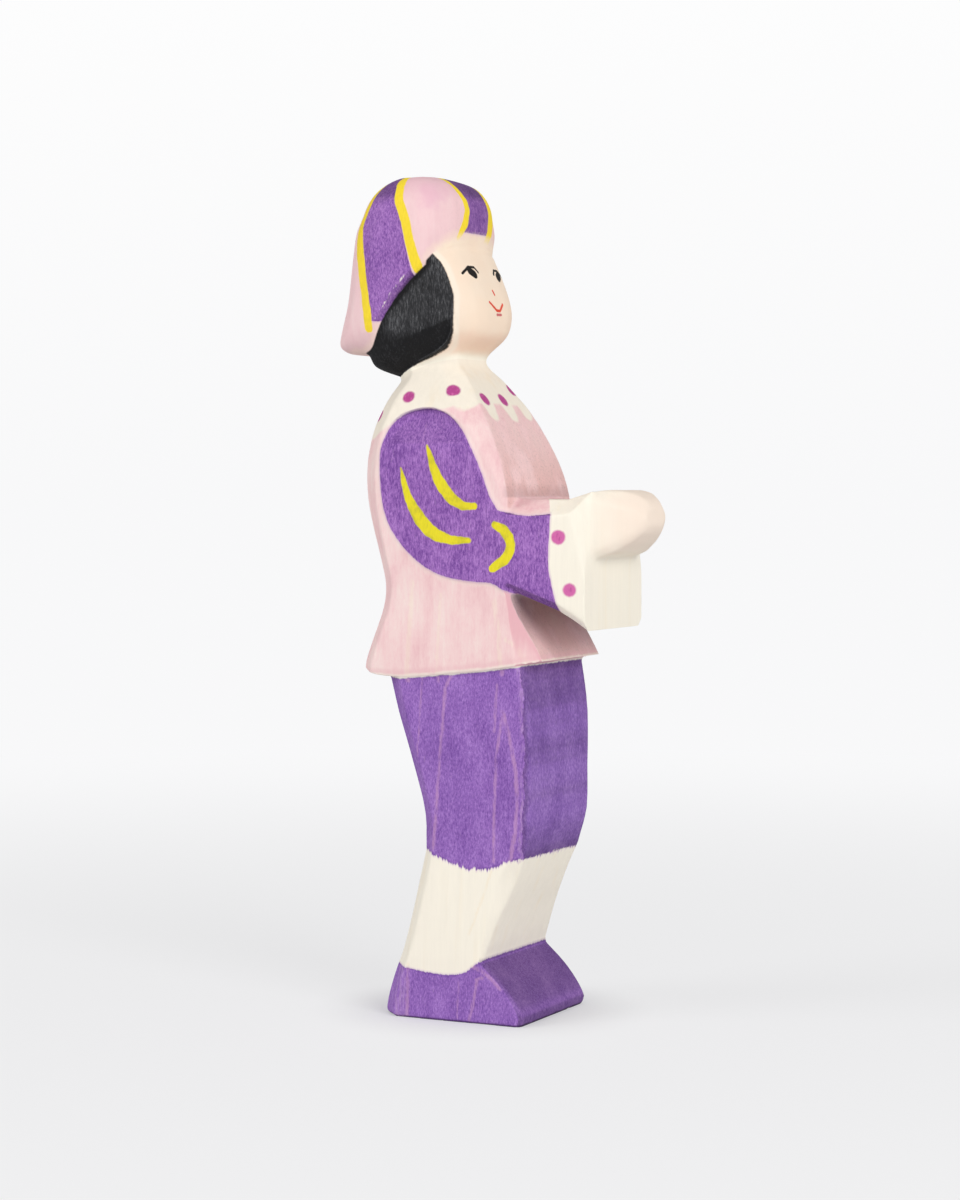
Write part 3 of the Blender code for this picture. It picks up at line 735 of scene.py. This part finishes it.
class Graph:
    """The nodes of one material."""

    def __init__(self, name):
        self.material = bpy.data.materials.new(name)
        self.material.use_nodes = True
        self.tree = self.material.node_tree
        self.tree.nodes.clear()
        coordinates = self.add("ShaderNodeTexCoord")
        self.place = self.vector("SCALE", coordinates.outputs["Object"], scale=1 / MM)
        normal = self.add("ShaderNodeSeparateXYZ", Vector=coordinates.outputs["Normal"])
        self.across, self.back, self.up = normal.outputs
        place = self.add("ShaderNodeSeparateXYZ", Vector=self.place)
        self.x, self.y, self.z = place.outputs

    def add(self, kind, settings=(), **inputs):
        node = self.tree.nodes.new(kind)
        for name, value in dict(settings).items():
            setattr(node, name, value)
        for name, value in inputs.items():
            self.plug(node.inputs[name.replace("_", " ")], value)
        return node

    def plug(self, socket, value):
        if isinstance(value, bpy.types.NodeSocket):
            self.tree.links.new(value, socket)
        elif isinstance(value, tuple) and socket.type == "RGBA":
            socket.default_value = (*value, 1.0)
        else:
            socket.default_value = value

    def math(self, operation, *values, clamp=False):
        node = self.add("ShaderNodeMath", {"operation": operation, "use_clamp": clamp})
        for socket, value in zip(node.inputs, values):
            self.plug(socket, value)
        return node.outputs[0]

    def vector(self, operation, *values, scale=None):
        node = self.add("ShaderNodeVectorMath", {"operation": operation})
        for socket, value in zip(node.inputs, values):
            self.plug(socket, value)
        if scale is not None:
            self.plug(node.inputs["Scale"], scale)
        return node.outputs["Value"] if operation in ("DOT_PRODUCT", "LENGTH") else node.outputs["Vector"]

    def value(self, name):
        """An attribute of the mesh."""
        return self.add("ShaderNodeAttribute", {"attribute_name": name}).outputs["Fac"]

    def smooth(self, value, low, high):
        """0 at low and 1 at high, with a smooth step between."""
        node = self.add("ShaderNodeMapRange", {"interpolation_type": "SMOOTHSTEP"}, Value=value)
        self.plug(node.inputs["From Min"], low)
        self.plug(node.inputs["From Max"], high)
        return node.outputs["Result"]

    def noise(self, scale, seed=0.0, detail=2.0, rough=0.5):
        """Noise about 0, mostly within 0.25 of it, at a number of features per millimetre."""
        vector = self.vector("MULTIPLY_ADD", self.place, scale, (seed, 2 * seed, 3 * seed))
        node = self.add("ShaderNodeTexNoise", Vector=vector, Scale=1.0, Detail=detail, Roughness=rough)
        return self.math("SUBTRACT", node.outputs["Fac"], 0.5)

    def scaled(self, value, factor, offset=0.0):
        return self.math("MULTIPLY_ADD", value, factor, offset)

    def negative(self, value):
        return self.scaled(value, -1.0)

    def inverse(self, value):
        """What a share leaves of 1."""
        return self.math("SUBTRACT", 1.0, value)

    def sum(self, *values):
        total = values[0]
        for value in values[1:]:
            total = self.math("ADD", total, value)
        return total

    def product(self, *values):
        total = values[0]
        for value in values[1:]:
            total = self.math("MULTIPLY", total, value)
        return total

    def mixed(self, factor, one, two, blend="MIX"):
        node = self.add("ShaderNodeMix", {"data_type": "RGBA", "blend_type": blend})
        self.plug(node.inputs[0], factor)
        self.plug(node.inputs[6], one)
        self.plug(node.inputs[7], two)
        return node.outputs[2]

    def ramp(self, value, *stops):
        node = self.add("ShaderNodeValToRGB", Fac=value)
        elements = node.color_ramp.elements
        while len(elements) < len(stops):
            elements.new(0.5)
        for element, (position, colour) in zip(elements, stops):
            element.position = position
            element.color = (*colour, 1.0)
        return node.outputs["Color"]

    def shaded(self, colour, amount):
        """A colour made lighter or darker by an amount about 0."""
        shade = self.scaled(amount, 1.0, 1.0)
        grey = self.add("ShaderNodeCombineColor", Red=shade, Green=shade, Blue=shade).outputs["Color"]
        return self.mixed(1.0, colour, grey, "MULTIPLY")

    def edge(self, distance, ragged=0.15, soft=0.08, seed=0.0, grain=(3.5, 3.5, 0.5)):
        """1 inside a painted area, with an edge that runs along the grain."""
        wide = tuple(0.4 * scale for scale in grain)
        shift = self.sum(self.scaled(self.noise(grain, seed + 4.3), 3 * ragged),
                         self.scaled(self.noise(wide, seed + 7.9), 3 * ragged))
        return self.smooth(self.sum(distance, shift), -soft, soft)

    def rim(self, distance, width=0.4):
        """1 just inside the edge of a painted area, where stain pools, and 0 further in."""
        return self.inverse(self.smooth(distance, 0.1 * width, width))

    def capsule(self, start, end, radius):
        """How far outside a round-ended line of ink the surface lies."""
        start, end = np.array(start), np.array(end)
        along = end - start
        offset = self.vector("SUBTRACT", self.place, tuple(start))
        share = self.vector("DOT_PRODUCT", offset, tuple(along))
        share = self.math("MULTIPLY", share, 1 / float(along @ along), clamp=True)
        away = self.vector("SUBTRACT", offset, self.vector("SCALE", tuple(along), scale=share))
        return self.math("SUBTRACT", self.vector("LENGTH", away), radius)

    def ink(self, colour, line, radius, paint, soft=0.07):
        """A thin painted line over a colour."""
        away = [self.capsule(start, end, radius) for start, end in zip(line[:-1], line[1:])]
        nearest = away[0]
        for value in away[1:]:
            nearest = self.math("MINIMUM", nearest, value)
        nearest = self.sum(nearest, self.scaled(self.noise((6.0, 6.0, 3.0), 2.2), 0.12))
        return self.mixed(self.inverse(self.smooth(nearest, -soft, soft)), colour, paint)


def wood(g):
    """The bare pale wood, with its grain up the block."""
    streaks = g.noise((1.3, 1.3, 0.045), 1.7, 4.0, 0.6)
    fine = g.noise((5.0, 5.0, 0.30), 5.1, 2.0)
    warm = g.smooth(g.noise((0.55, 0.55, 0.02), 8.8, 2.0), 0.02, 0.30)
    colour = g.mixed(g.scaled(warm, 0.45), CREAM, CREAM_WARM)
    return g.shaded(colour, g.sum(g.scaled(streaks, 0.09), g.scaled(fine, 0.05)))


def ringed(g, colour, strength, pale, width=0.3):
    """Growth rings that took less stain, on the sides of the block."""
    ragged = g.scaled(g.noise((4.5, 4.5, 1.2), 6.4, 3.0, 0.7), 2.4 * width)
    line = g.inverse(g.smooth(g.sum(g.value("rings"), ragged), 0.2 * width, 1.3 * width))
    sides = g.smooth(g.math("ABSOLUTE", g.across), 0.75, 0.95)
    broken = g.smooth(g.noise((1.5, 1.5, 0.35), 3.3, 2.0), -0.25, 0.05)
    return g.mixed(g.product(line, sides, broken, strength), colour, pale)


def purple(g, colour, distance, ragged=0.14, grain=(5.0, 5.0, 0.6), seed=0.0, soft=0.08,
           streak=1.0, length=1.0, tint=(1.0, 1.0, 1.0), ring=0.3, pool=0.2):
    """Purple stain over a colour, wherever a distance is positive."""
    fine = g.noise((4.6, 4.6, 1.9 / length), 1.1 + seed, 3.0, 0.75)
    middle = g.noise((1.9, 1.9, 0.60 / length), 2.6 + seed, 2.0)
    coarse = g.noise((0.28, 0.28, 0.14), 7.9 + seed, 3.0)
    level = g.sum(g.scaled(fine, 2.3 * streak, 0.5), g.scaled(middle, 0.40 * streak), g.scaled(coarse, 0.9))
    level = g.sum(level, g.scaled(g.rim(distance, 0.45), -pool))
    stain = g.ramp(level, (0.0, PURPLE_DEEP), (0.5, PURPLE), (1.0, PURPLE_PALE))
    stain = g.mixed(1.0, stain, tint, "MULTIPLY")
    flecks = g.smooth(g.noise((4.5, 4.5, 1.2 / length), 9.7 + seed, 2.0), 0.15, 0.28)
    stain = g.mixed(g.scaled(flecks, 0.30 * streak), stain, LAVENDER)
    stain = ringed(g, stain, 0.50, RING_PINK, ring)
    # Faces that look up are darkened as end grain that took more stain. Faces that look down are darkened as
    # painted shade.
    end_grain = g.smooth(g.up, 0.30, 0.62)
    under = g.smooth(g.up, -0.35, -0.65)
    stain = g.shaded(stain, g.sum(g.scaled(end_grain, -0.43), g.scaled(under, -0.30)))
    worn = g.smooth(g.sum(g.value("wear"), g.scaled(g.noise((2.0, 2.0, 0.9), 4.4, 3.0), 0.10)), 0.075, 0.12)
    stain = g.mixed(g.scaled(worn, 0.55), stain, LAVENDER)
    fringe = g.edge(distance, ragged, soft, seed, grain)
    halo = g.edge(g.math("ADD", distance, 0.22), ragged, 0.16, seed, grain)
    colour = g.mixed(g.scaled(halo, 0.35), colour, LAVENDER)
    return g.mixed(fringe, colour, stain)


def pink(g, colour, distance=None, seed=0.0):
    """Thin pink stain over a colour, deeper on faces that look up and duskier on faces that look forward,
    with painted shade on faces that look down.
    """
    speckle = g.noise((3.0, 3.0, 1.1), 3.1 + seed, 4.0, 0.7)
    streaks = g.noise((1.2, 1.2, 0.06), 6.2 + seed, 3.0)
    coarse = g.noise((0.22, 0.22, 0.14), 8.3 + seed, 3.0)
    front = g.smooth(g.negative(g.back), 0.72, 0.95)
    level = g.sum(g.scaled(speckle, 0.60, 0.44), g.scaled(streaks, 0.55), g.scaled(coarse, 1.1),
                  g.scaled(g.smooth(g.up, 0.2, 0.8), 0.12))
    stain = g.ramp(level, (0.0, PINK_PALE), (0.45, PINK), (1.0, PINK_DEEP))
    specks = g.smooth(g.noise((3.2, 3.2, 3.2), 5.3 + seed, 2.0), 0.04, 0.22)
    dusky = g.mixed(g.smooth(coarse, 0.0, 0.18), DUSKY, PINK)
    dusky = g.mixed(g.scaled(g.smooth(g.z, 79.0, 87.0), 0.55), dusky, PINK)
    dusky = g.shaded(dusky, g.sum(g.scaled(specks, -0.20), g.scaled(streaks, 0.2), g.scaled(speckle, -0.25)))
    stain = g.mixed(g.scaled(front, 0.85), stain, dusky)
    # Painted shade: faces that look down are darkened.
    stain = g.shaded(stain, g.scaled(g.smooth(g.up, -0.1, -0.6), -0.14))
    if distance is None:
        return stain
    return g.mixed(g.edge(distance, 0.35, 0.35, seed, (0.9, 0.9, 0.5)), colour, stain)


def yellow(g, colour, distance, paint, olive):
    """A brushed yellow stroke."""
    patches = g.sum(g.noise((0.6, 0.6, 0.5), 5.5, 3.0, 0.6), g.scaled(g.rim(distance, 0.5), 0.10))
    patches = g.smooth(patches, 0.0, 0.28)
    paint = g.mixed(g.scaled(patches, olive), paint, OLIVE)
    paint = g.shaded(paint, g.scaled(g.noise((5.0, 5.0, 1.1), 2.9, 3.0), 0.25))
    return g.mixed(g.edge(distance, 0.07, 0.10, 1.5, (2.0, 2.0, 1.0)), colour, paint)


def dotted(g, colour):
    """Magenta dots, darker at their rims."""
    distance = g.value("dots")
    high = g.smooth(g.z, 78.0, 84.0)
    deep = g.sum(g.scaled(g.smooth(distance, 0.2, 0.9), 0.2),
                 g.scaled(g.noise((3.0, 3.0, 1.5), 7.1, 3.0), 1.4), g.scaled(high, 0.55))
    paint = g.mixed(g.smooth(deep, 0.0, 0.7), MAGENTA, MAGENTA_DEEP)
    return g.mixed(g.edge(distance, 0.06, 0.20, 3.5, (2.0, 2.0, 1.0)), colour, paint)


def black(g, colour, distance):
    """Black stain, through which the grain shows."""
    fine = g.noise((4.2, 4.2, 1.1), 2.4, 4.0, 0.75)
    coarse = g.noise((0.35, 0.35, 0.18), 6.6, 2.0)
    # Painted shade: faces of the hair that look down are darkened.
    low = g.smooth(g.up, -0.06, -0.32)
    level = g.sum(g.scaled(fine, 2.2, 0.48), g.scaled(coarse, 0.8), g.scaled(low, -0.50))
    stain = g.ramp(level, (0.0, BLACK_DEEP), (0.5, BLACK), (1.0, BLACK_PALE))
    worn = g.smooth(g.sum(g.value("wear"), g.scaled(g.noise((1.5, 1.5, 0.7), 1.9, 3.0), 0.10)), 0.05, 0.12)
    stain = g.mixed(g.scaled(worn, 0.30), stain, BLACK_WORN)
    stain = ringed(g, stain, 0.45, BLACK_RING, 0.22)
    return g.mixed(g.edge(distance, 0.05, 0.10, 2.0, (3.0, 3.0, 1.5)), colour, stain)


def skin_tone(g, colour, strength):
    """A thin flush over the wood of the face and the hands."""
    coarse = g.noise((0.20, 0.20, 0.20), 4.0, 2.0)
    return g.mixed(g.sum(g.scaled(coarse, 0.5), strength), colour, PEACH)


def legs_paint(g):
    colour = wood(g)
    colour = ringed(g, colour, 0.60, CREAM_WARM)
    shoes = purple(g, colour, g.negative(g.value("ankle")), 0.11, (5.5, 5.5, 0.4), 2.0)
    # Painted shade: the shoes are darkened on their low front faces, and a painted shadow runs along the
    # foot of the sole.
    low = g.inverse(g.smooth(g.z, 9.0, 10.0))
    faces_front = g.smooth(g.negative(g.back), 0.35, 0.6)
    painted_toe_shade = g.product(faces_front, g.inverse(g.smooth(g.up, 0.2, 0.5)), low)
    foot = g.sum(g.z, g.scaled(g.noise((0.8, 0.8, 0.8), 1.0), 0.5))
    painted_sole_shadow = g.inverse(g.smooth(foot, 0.15, 0.5))
    shoes = g.shaded(shoes, g.sum(g.scaled(painted_toe_shade, -0.42), g.scaled(painted_sole_shadow, -0.35)))
    heel = g.product(g.smooth(g.y, 6.7, 7.1), g.inverse(g.smooth(g.y, 8.6, 9.2)), low,
                     g.smooth(g.noise((2.2, 2.2, 0.35), 6.1, 3.0), -0.15, 0.2))
    colour = g.mixed(g.product(g.scaled(heel, 0.5), g.smooth(g.value("ankle"), 0.0, -0.3)), shoes, LAVENDER)
    return purple(g, colour, g.value("knee"), KNEE_RAGGED, KNEE_GRAIN, ring=LEG_RING)


def breeches_paint(g):
    colour = purple(g, wood(g), g.value("knee"), KNEE_RAGGED, KNEE_GRAIN, ring=LEG_RING)
    wavy = g.sum(g.value("corner"), g.scaled(g.noise((0.0, 0.0, 0.35), 3.8, 2.0), 1.2),
                 g.scaled(g.noise((1.5, 1.5, 1.5), 5.6), 0.6))
    front = g.smooth(g.value("corner"), -0.1, 0.4)
    colour = g.mixed(front, colour, g.mixed(1.0, colour, CORNER_TINT, "MULTIPLY"))
    fringe = g.product(g.smooth(wavy, -0.75, -0.35), g.smooth(wavy, 0.0, -0.12),
                       g.smooth(g.noise((2.0, 2.0, 0.6), 8.8, 3.0), -0.08, 0.16))
    colour = g.mixed(g.scaled(fringe, 0.45), colour, LAVENDER)
    pool = g.product(g.smooth(wavy, -0.12, 0.0), g.smooth(wavy, 0.9, 0.1))
    colour = g.shaded(colour, g.scaled(pool, -0.36))
    return hem_paint(g, colour, wood(g))


def hem_paint(g, below, above):
    """The jacket's bare lower edge, over the breeches."""
    hem = g.value("hem")
    strip = g.edge(g.math("ADD", hem, 0.12), 0.11, 0.14, 5.0, (1.7, 1.7, 0.8))
    return g.mixed(strip, below, above)


def body_paint(g):
    """The jacket, its collar, the sleeves and the cuffs, which meet all over the upper body."""
    bare = wood(g)
    sleeve = g.value("sleeve")
    cuff = g.value("cuff")
    pale = g.mixed(0.55, bare, PINK_PALE)
    colour = pink(g, bare)
    near = g.math("ABSOLUTE", g.math("ADD", sleeve, 0.25))
    near = g.sum(near, g.scaled(g.noise((0.8, 0.8, 0.4), 2.7), 1.2))
    halo = g.inverse(g.smooth(near, 0.15, 0.75))
    colour = g.mixed(g.scaled(halo, 0.25), colour, pale)
    hem = g.value("hem")
    colour = ringed(g, colour, 0.3, CREAM_WARM, 0.35)
    pool = g.product(g.smooth(hem, 0.35, 0.65), g.smooth(hem, 1.5, 0.8))
    colour = g.mixed(g.scaled(pool, 0.30), colour, PINK_DEEP)
    hem_edge = g.inverse(g.edge(g.math("SUBTRACT", hem, 0.42), 0.14, 0.22, 6.0, (0.8, 0.8, 0.8)))
    colour = g.mixed(g.scaled(hem_edge, 0.6), colour, bare)
    forward = g.negative(g.y)
    faces_front = g.smooth(g.negative(g.back), 0.55, 0.85)
    # Painted shade: the front of the skirt under the arms and the crease at the foot of the chest are
    # darkened.
    painted_armpit_shade = g.product(g.smooth(g.z, 54.5, 60.5), g.inverse(g.smooth(g.z, 64.5, 66.5)), faces_front,
                       g.inverse(g.smooth(forward, 16.0, 17.5)))
    painted_chest_foot_shade = g.product(g.smooth(g.z, 76.8, 77.2), g.inverse(g.smooth(g.z, 77.6, 79.4)),
                           g.smooth(g.negative(g.back), 0.45, 0.75), g.smooth(forward, 6.5, 7.5))
    colour = g.shaded(colour, g.sum(g.scaled(painted_armpit_shade, -0.45), g.scaled(painted_chest_foot_shade, -0.20)))
    corner = g.product(g.smooth(g.math("ABSOLUTE", g.across), 0.97, 0.88),
                       g.smooth(g.negative(g.back), 0.15, 0.3), g.inverse(faces_front),
                       g.inverse(g.smooth(g.z, 64.0, 67.0)))
    colour = g.mixed(g.scaled(corner, 0.90), colour, PINK_DEEP)
    collar_bare = g.edge(g.value("collar"), 0.10, 0.34, 7.0, (1.4, 1.4, 1.0))
    colour = g.mixed(collar_bare, colour, g.mixed(1.0, bare, COLLAR_TINT, "MULTIPLY"))
    cuffs = g.edge(g.negative(cuff), 0.06, 0.10, 8.0, (3.0, 3.0, 1.2))
    arm = g.math("MINIMUM", sleeve, cuff)
    colour = g.mixed(cuffs, colour, bare)
    colour = purple(g, colour, arm, 0.055, (5.0, 5.0, 1.2), 5.0, streak=1.35, length=1.3,
                    tint=SLEEVE_TINT, ring=0.16, pool=-0.06)
    colour = yellow(g, colour, g.value("arcs"), STROKE, 0.75)
    return dotted(g, colour)


def hands_paint(g):
    colour = body_paint(g)
    front = g.smooth(g.sum(g.negative(g.y), g.scaled(g.noise((0.3, 0.3, 0.3), 3.0), 4.0)), 19.5, 27.0)
    upper = g.smooth(g.z, 66.8, 68.5)
    return g.mixed(g.product(front, upper, 0.85), colour, FLESH)


def head_paint(g, marks=()):
    bare = wood(g)
    colour = skin_tone(g, bare, 0.92)
    # Blush on faces that look down, and painted shade under the chin and jaw.
    chin_blush_and_shade = g.smooth(g.sum(g.up, g.scaled(g.noise((0.4, 0.4, 0.4), 1.2), 0.6)), -0.25, -0.85)
    colour = g.mixed(g.scaled(chin_blush_and_shade, 0.40), colour, BLUSH)
    cheek = g.vector("SUBTRACT", g.vector("MULTIPLY", g.place, CHEEK_STRETCH), CHEEK_PLACE)
    cheek = g.smooth(g.vector("LENGTH", cheek), 6.0, 1.0)
    colour = g.mixed(g.scaled(cheek, 0.35), colour, BLUSH)
    neck = g.smooth(g.value("neck"), 0.2, 1.4)
    colour = g.mixed(neck, bare, colour)
    for line, radius, paint in marks:
        colour = g.ink(colour, line, radius, paint)
    rim = g.value("hat_edge")
    hairline = g.value("hairline")
    halo = g.inverse(g.smooth(g.math("ABSOLUTE", g.math("ADD", hairline, 0.35)), 0.1, 0.5))
    colour = g.mixed(g.scaled(halo, 0.5), colour, CREAM)
    hat = pink(g, bare, seed=11.0)
    hat = g.mixed(0.6, hat, HAT_PINK)
    mirrored = g.add("ShaderNodeCombineXYZ", X=g.math("ABSOLUTE", g.x), Y=g.y, Z=g.z).outputs[0]
    blotch = g.vector("LENGTH", g.vector("SUBTRACT", mirrored, BLOTCH_PLACE))
    blotch = g.sum(blotch, g.scaled(g.noise((0.5, 0.5, 0.5), 2.9, 3.0), 4.0))
    hat = g.mixed(g.scaled(g.smooth(blotch, 3.2, 0.4), 0.55), hat, HAT_BLOTCH)
    hat_top = g.smooth(g.up, 0.3, 0.8)
    hat = g.mixed(g.scaled(hat_top, 0.45), hat, HAT_TOP)
    rim_pale = g.sum(rim, g.scaled(g.noise((0.7, 0.7, 0.7), 5.7), 1.2))
    rim_pale = g.inverse(g.smooth(rim_pale, 0.2, 1.3))
    hat = g.mixed(g.scaled(rim_pale, 0.4), hat, PEACH)
    bands = g.value("hat_bands")
    hat = purple(g, hat, bands, 0.05, (2.5, 2.5, 1.5), 3.0, streak=1.25, tint=BAND_TINT, ring=0.14)
    seam = g.value("rim")
    chips = g.product(g.smooth(g.math("ABSOLUTE", g.math("SUBTRACT", seam, 0.95)), 0.22, 0.06),
                      g.smooth(g.noise((1.4, 1.4, 0.7), 3.6, 3.0), 0.02, 0.12), g.smooth(bands, 0.2, 0.5))
    # Painted shade: the bands are darkened in a strip just above the rim's lip and on faces that look
    # forward.
    strip = g.product(g.smooth(seam, 1.0, 0.8), g.smooth(bands, 0.0, 0.2))
    painted_band_front_shade = g.product(g.smooth(g.negative(g.back), 0.3, 0.7), g.smooth(bands, 0.0, 0.2))
    hat = g.shaded(hat, g.sum(g.scaled(strip, -0.26), g.scaled(painted_band_front_shade, -0.22)))
    hat = g.mixed(g.scaled(chips, 0.7), hat, CREAM)
    hat = yellow(g, hat, g.value("hat_lines"), YELLOW, 0.10)
    colour = black(g, colour, hairline)
    forehead = g.smooth(g.negative(hairline), 0.0, 0.8)
    soft_edge = g.smooth(g.sum(rim, g.scaled(g.noise((0.8, 0.8, 0.8), 4.1, 3.0), 0.8)), -0.45, 0.6)
    crisp_edge = g.edge(rim, 0.05, 0.10, 9.0, (1.0, 1.0, 1.0))
    covered = g.sum(g.product(forehead, soft_edge), g.product(g.inverse(forehead), crisp_edge))
    return g.mixed(covered, colour, hat)


def finished(g, colour):
    """A matt stained surface with its fine grain standing up."""
    grain = g.noise((5.0, 5.0, 0.5), 1.3, 3.0, 0.6)
    pores = g.noise((1.6, 1.6, 0.2), 4.7, 3.0)
    height = g.sum(g.scaled(grain, 1.0), g.scaled(pores, 0.8))
    bump = g.add("ShaderNodeBump", Height=height, Strength=GRAIN_STRENGTH, Distance=GRAIN_HEIGHT)
    rough = g.sum(g.scaled(grain, 0.25), ROUGHNESS)
    shader = g.add("ShaderNodeBsdfPrincipled", Base_Color=colour, Roughness=rough,
                   Normal=bump.outputs["Normal"], Specular_IOR_Level=SPECULAR)
    g.add("ShaderNodeOutputMaterial", Surface=shader.outputs["BSDF"])
    return g.material


ATTRIBUTES = {
    "legs": ("ankle", "knee", "rings"),
    "breeches": ("knee", "hem", "corner", "rings"),
    "body": ("hem", "collar", "sleeve", "cuff", "arcs", "dots", "rings"),
    "head": ("neck", "rim", "hat_edge", "hairline", "hat_bands", "hat_lines", "rings"),
}
PAINTS = {
    "shoes": ("shoes", "legs", legs_paint),
    "stockings": ("stockings", "legs", legs_paint),
    "breeches": ("breeches", "breeches", breeches_paint),
    "jacket": ("jacket", "body", body_paint),
    "sleeve_right": ("sleeves", "body", body_paint),
    "sleeve_left": ("sleeves", "body", body_paint),
    "cuffs": ("cuffs", "body", body_paint),
    "hands": ("hands", "body", hands_paint),
    "collar": ("collar", "body", body_paint),
    "head": ("face", "head", head_paint),
    "hair": ("hair", "head", head_paint),
    "hat": ("hat", "head", head_paint),
}


def face_marks(mesh):
    """The ink marks as lines on the face, each with its width to each side and its ink."""
    tree = BVHTree.FromPolygons([vertex.co for vertex in mesh.vertices],
                                [polygon.vertices for polygon in mesh.polygons])

    def on_face(line):
        marks = []
        for x, z in line:
            place = tree.ray_cast(Vector((x, -REACH, z)), Vector((0, 1, 0)))[0]
            marks.append(tuple(place))
        return marks

    def mirrored(line):
        return tuple((-x, z) for x, z in line)

    marks = [(on_face(NOSE), 0.22, RED_INK), (on_face(MOUTH), 0.22, RED_INK), (on_face(LIP), 0.20, LIP_INK)]
    for line, radius in ((EYE_LID, 0.21), (EYE, 0.72)):
        marks.append((on_face(line), radius, INK))
        marks.append((on_face(mirrored(line)), radius, INK))
    return marks


def dress(name, mesh, wear_tree, wear, materials, marks):
    """Turn a cut mesh into a finished piece."""
    slot, group, paint = PAINTS[name]
    points = points_of(mesh)
    places = Places(points)
    values = {attribute: wanted_value(places, attribute) for attribute in ATTRIBUTES[group]}
    values["wear"] = [wear[wear_tree.find(place)[1]] for place in points]
    for attribute, numbers in values.items():
        layer = mesh.attributes.new(attribute, "FLOAT", "POINT")
        layer.data.foreach_set("value", np.array(numbers, dtype=float))
    if slot not in materials:
        graph = Graph(slot + "_paint")
        colour = head_paint(graph, marks) if name == "head" else paint(graph)
        materials[slot] = finished(graph, colour)
    mesh.materials.clear()
    mesh.materials.append(materials[slot])
    mesh.transform(Matrix.Scale(MM, 4))
    for polygon in mesh.polygons:
        polygon.use_smooth = True
    mesh.set_sharp_from_angle(angle=math.radians(SHARP))
    piece = shown(name + "_wood", mesh)
    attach(piece, "root")
    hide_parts(name)


def make_figure():
    skin, wear = make_skin()
    wear_tree = KDTree(len(skin.points))
    for index, place in enumerate(skin.points):
        wear_tree.insert(place, index)
    wear_tree.balance()
    meshes = cut_pieces(skin.mesh)
    marks = face_marks(meshes["head"])
    materials = {}
    for name, mesh in meshes.items():
        dress(name, mesh, wear_tree, wear, materials, marks)


def add_camera():
    data = bpy.data.cameras.new("camera")
    data.sensor_width = SENSOR
    data.lens = FOCAL_PIXELS / FRAME_HEIGHT * SENSOR
    data.clip_start = CLIP_START
    camera = bpy.data.objects.new("camera", data)
    bpy.context.scene.collection.objects.link(camera)
    camera.location = CAMERA_AT
    camera.rotation_euler = (Vector(CAMERA_TO) - Vector(CAMERA_AT)).to_track_quat("-Z", "Y").to_euler()
    bpy.context.scene.camera = camera


def add_lamp(name, place, size, power):
    data = bpy.data.lights.new(name, "AREA")
    data.shape = "DISK"
    data.size = size
    data.energy = power
    lamp = bpy.data.objects.new(name, data)
    bpy.context.scene.collection.objects.link(lamp)
    lamp.location = place
    lamp.rotation_euler = (Vector(LAMP_AIM) - Vector(place)).to_track_quat("-Z", "Y").to_euler()


def floor_material():
    """A pale floor that takes the figure's shadow and runs out into the white backdrop."""
    g = Graph("floor")
    away = g.vector("LENGTH", g.place)
    near, middle, end = (reach / MM for reach in FLOOR_REACH)
    low, high, full = FLOOR_LIFT
    far = g.sum(g.scaled(g.smooth(away, near, middle), high - low, low),
                g.scaled(g.smooth(away, middle, end), full - high))
    seen = g.add("ShaderNodeLightPath").outputs["Is Camera Ray"]
    diffuse = g.add("ShaderNodeBsdfDiffuse", Color=FLOOR_COLOUR).outputs["BSDF"]
    glow = g.add("ShaderNodeEmission", Color=HORIZON_COLOUR, Strength=1.0).outputs["Emission"]
    mix = g.add("ShaderNodeMixShader")
    g.plug(mix.inputs[0], g.product(far, seen))
    g.plug(mix.inputs[1], diffuse)
    g.plug(mix.inputs[2], glow)
    g.add("ShaderNodeOutputMaterial", Surface=mix.outputs["Shader"])
    return g.material


def add_stage():
    corners = [(x * FLOOR_HALF, y * FLOOR_HALF, 0) for x, y in ((-1, -1), (1, -1), (1, 1), (-1, 1))]
    mesh = mesh_from("floor", corners, [(0, 1, 2, 3)])
    floor = shown("floor", mesh)
    mesh.materials.append(floor_material())
    world = bpy.data.worlds.new("world")
    bpy.context.scene.world = world
    world.use_nodes = True
    nodes, links = world.node_tree.nodes, world.node_tree.links
    nodes.clear()
    path, place, split_place, rise, shade, backdrop, fill, mix, output = (
        nodes.new("ShaderNode" + kind)
        for kind in ("LightPath", "TexCoord", "SeparateXYZ", "MapRange", "Mix", "Background",
                     "Background", "MixShader", "OutputWorld"))
    shade.data_type = "RGBA"
    rise.inputs["From Min"].default_value = 0.0
    rise.inputs["From Max"].default_value = BACKDROP_RISE
    shade.inputs[6].default_value = (*HORIZON_COLOUR, 1)
    shade.inputs[7].default_value = (*BACKDROP_COLOUR, 1)
    fill.inputs["Color"].default_value = (*FILL_COLOUR, 1)
    fill.inputs["Strength"].default_value = FILL_STRENGTH
    for source, target in (
            (place.outputs["Generated"], split_place.inputs[0]),
            (split_place.outputs["Z"], rise.inputs["Value"]),
            (rise.outputs["Result"], shade.inputs[0]),
            (shade.outputs[2], backdrop.inputs["Color"]),
            (path.outputs["Is Camera Ray"], mix.inputs[0]),
            (fill.outputs["Background"], mix.inputs[1]),
            (backdrop.outputs["Background"], mix.inputs[2]),
            (mix.outputs["Shader"], output.inputs["Surface"])):
        links.new(source, target)


make_figure()
add_camera()
add_lamp("key", KEY_PLACE, LAMP_SIZE, KEY_POWER)
add_lamp("side", SIDE_PLACE, LAMP_SIZE, SIDE_POWER)
add_stage()
bpy.context.scene.view_settings.view_transform = "Standard"
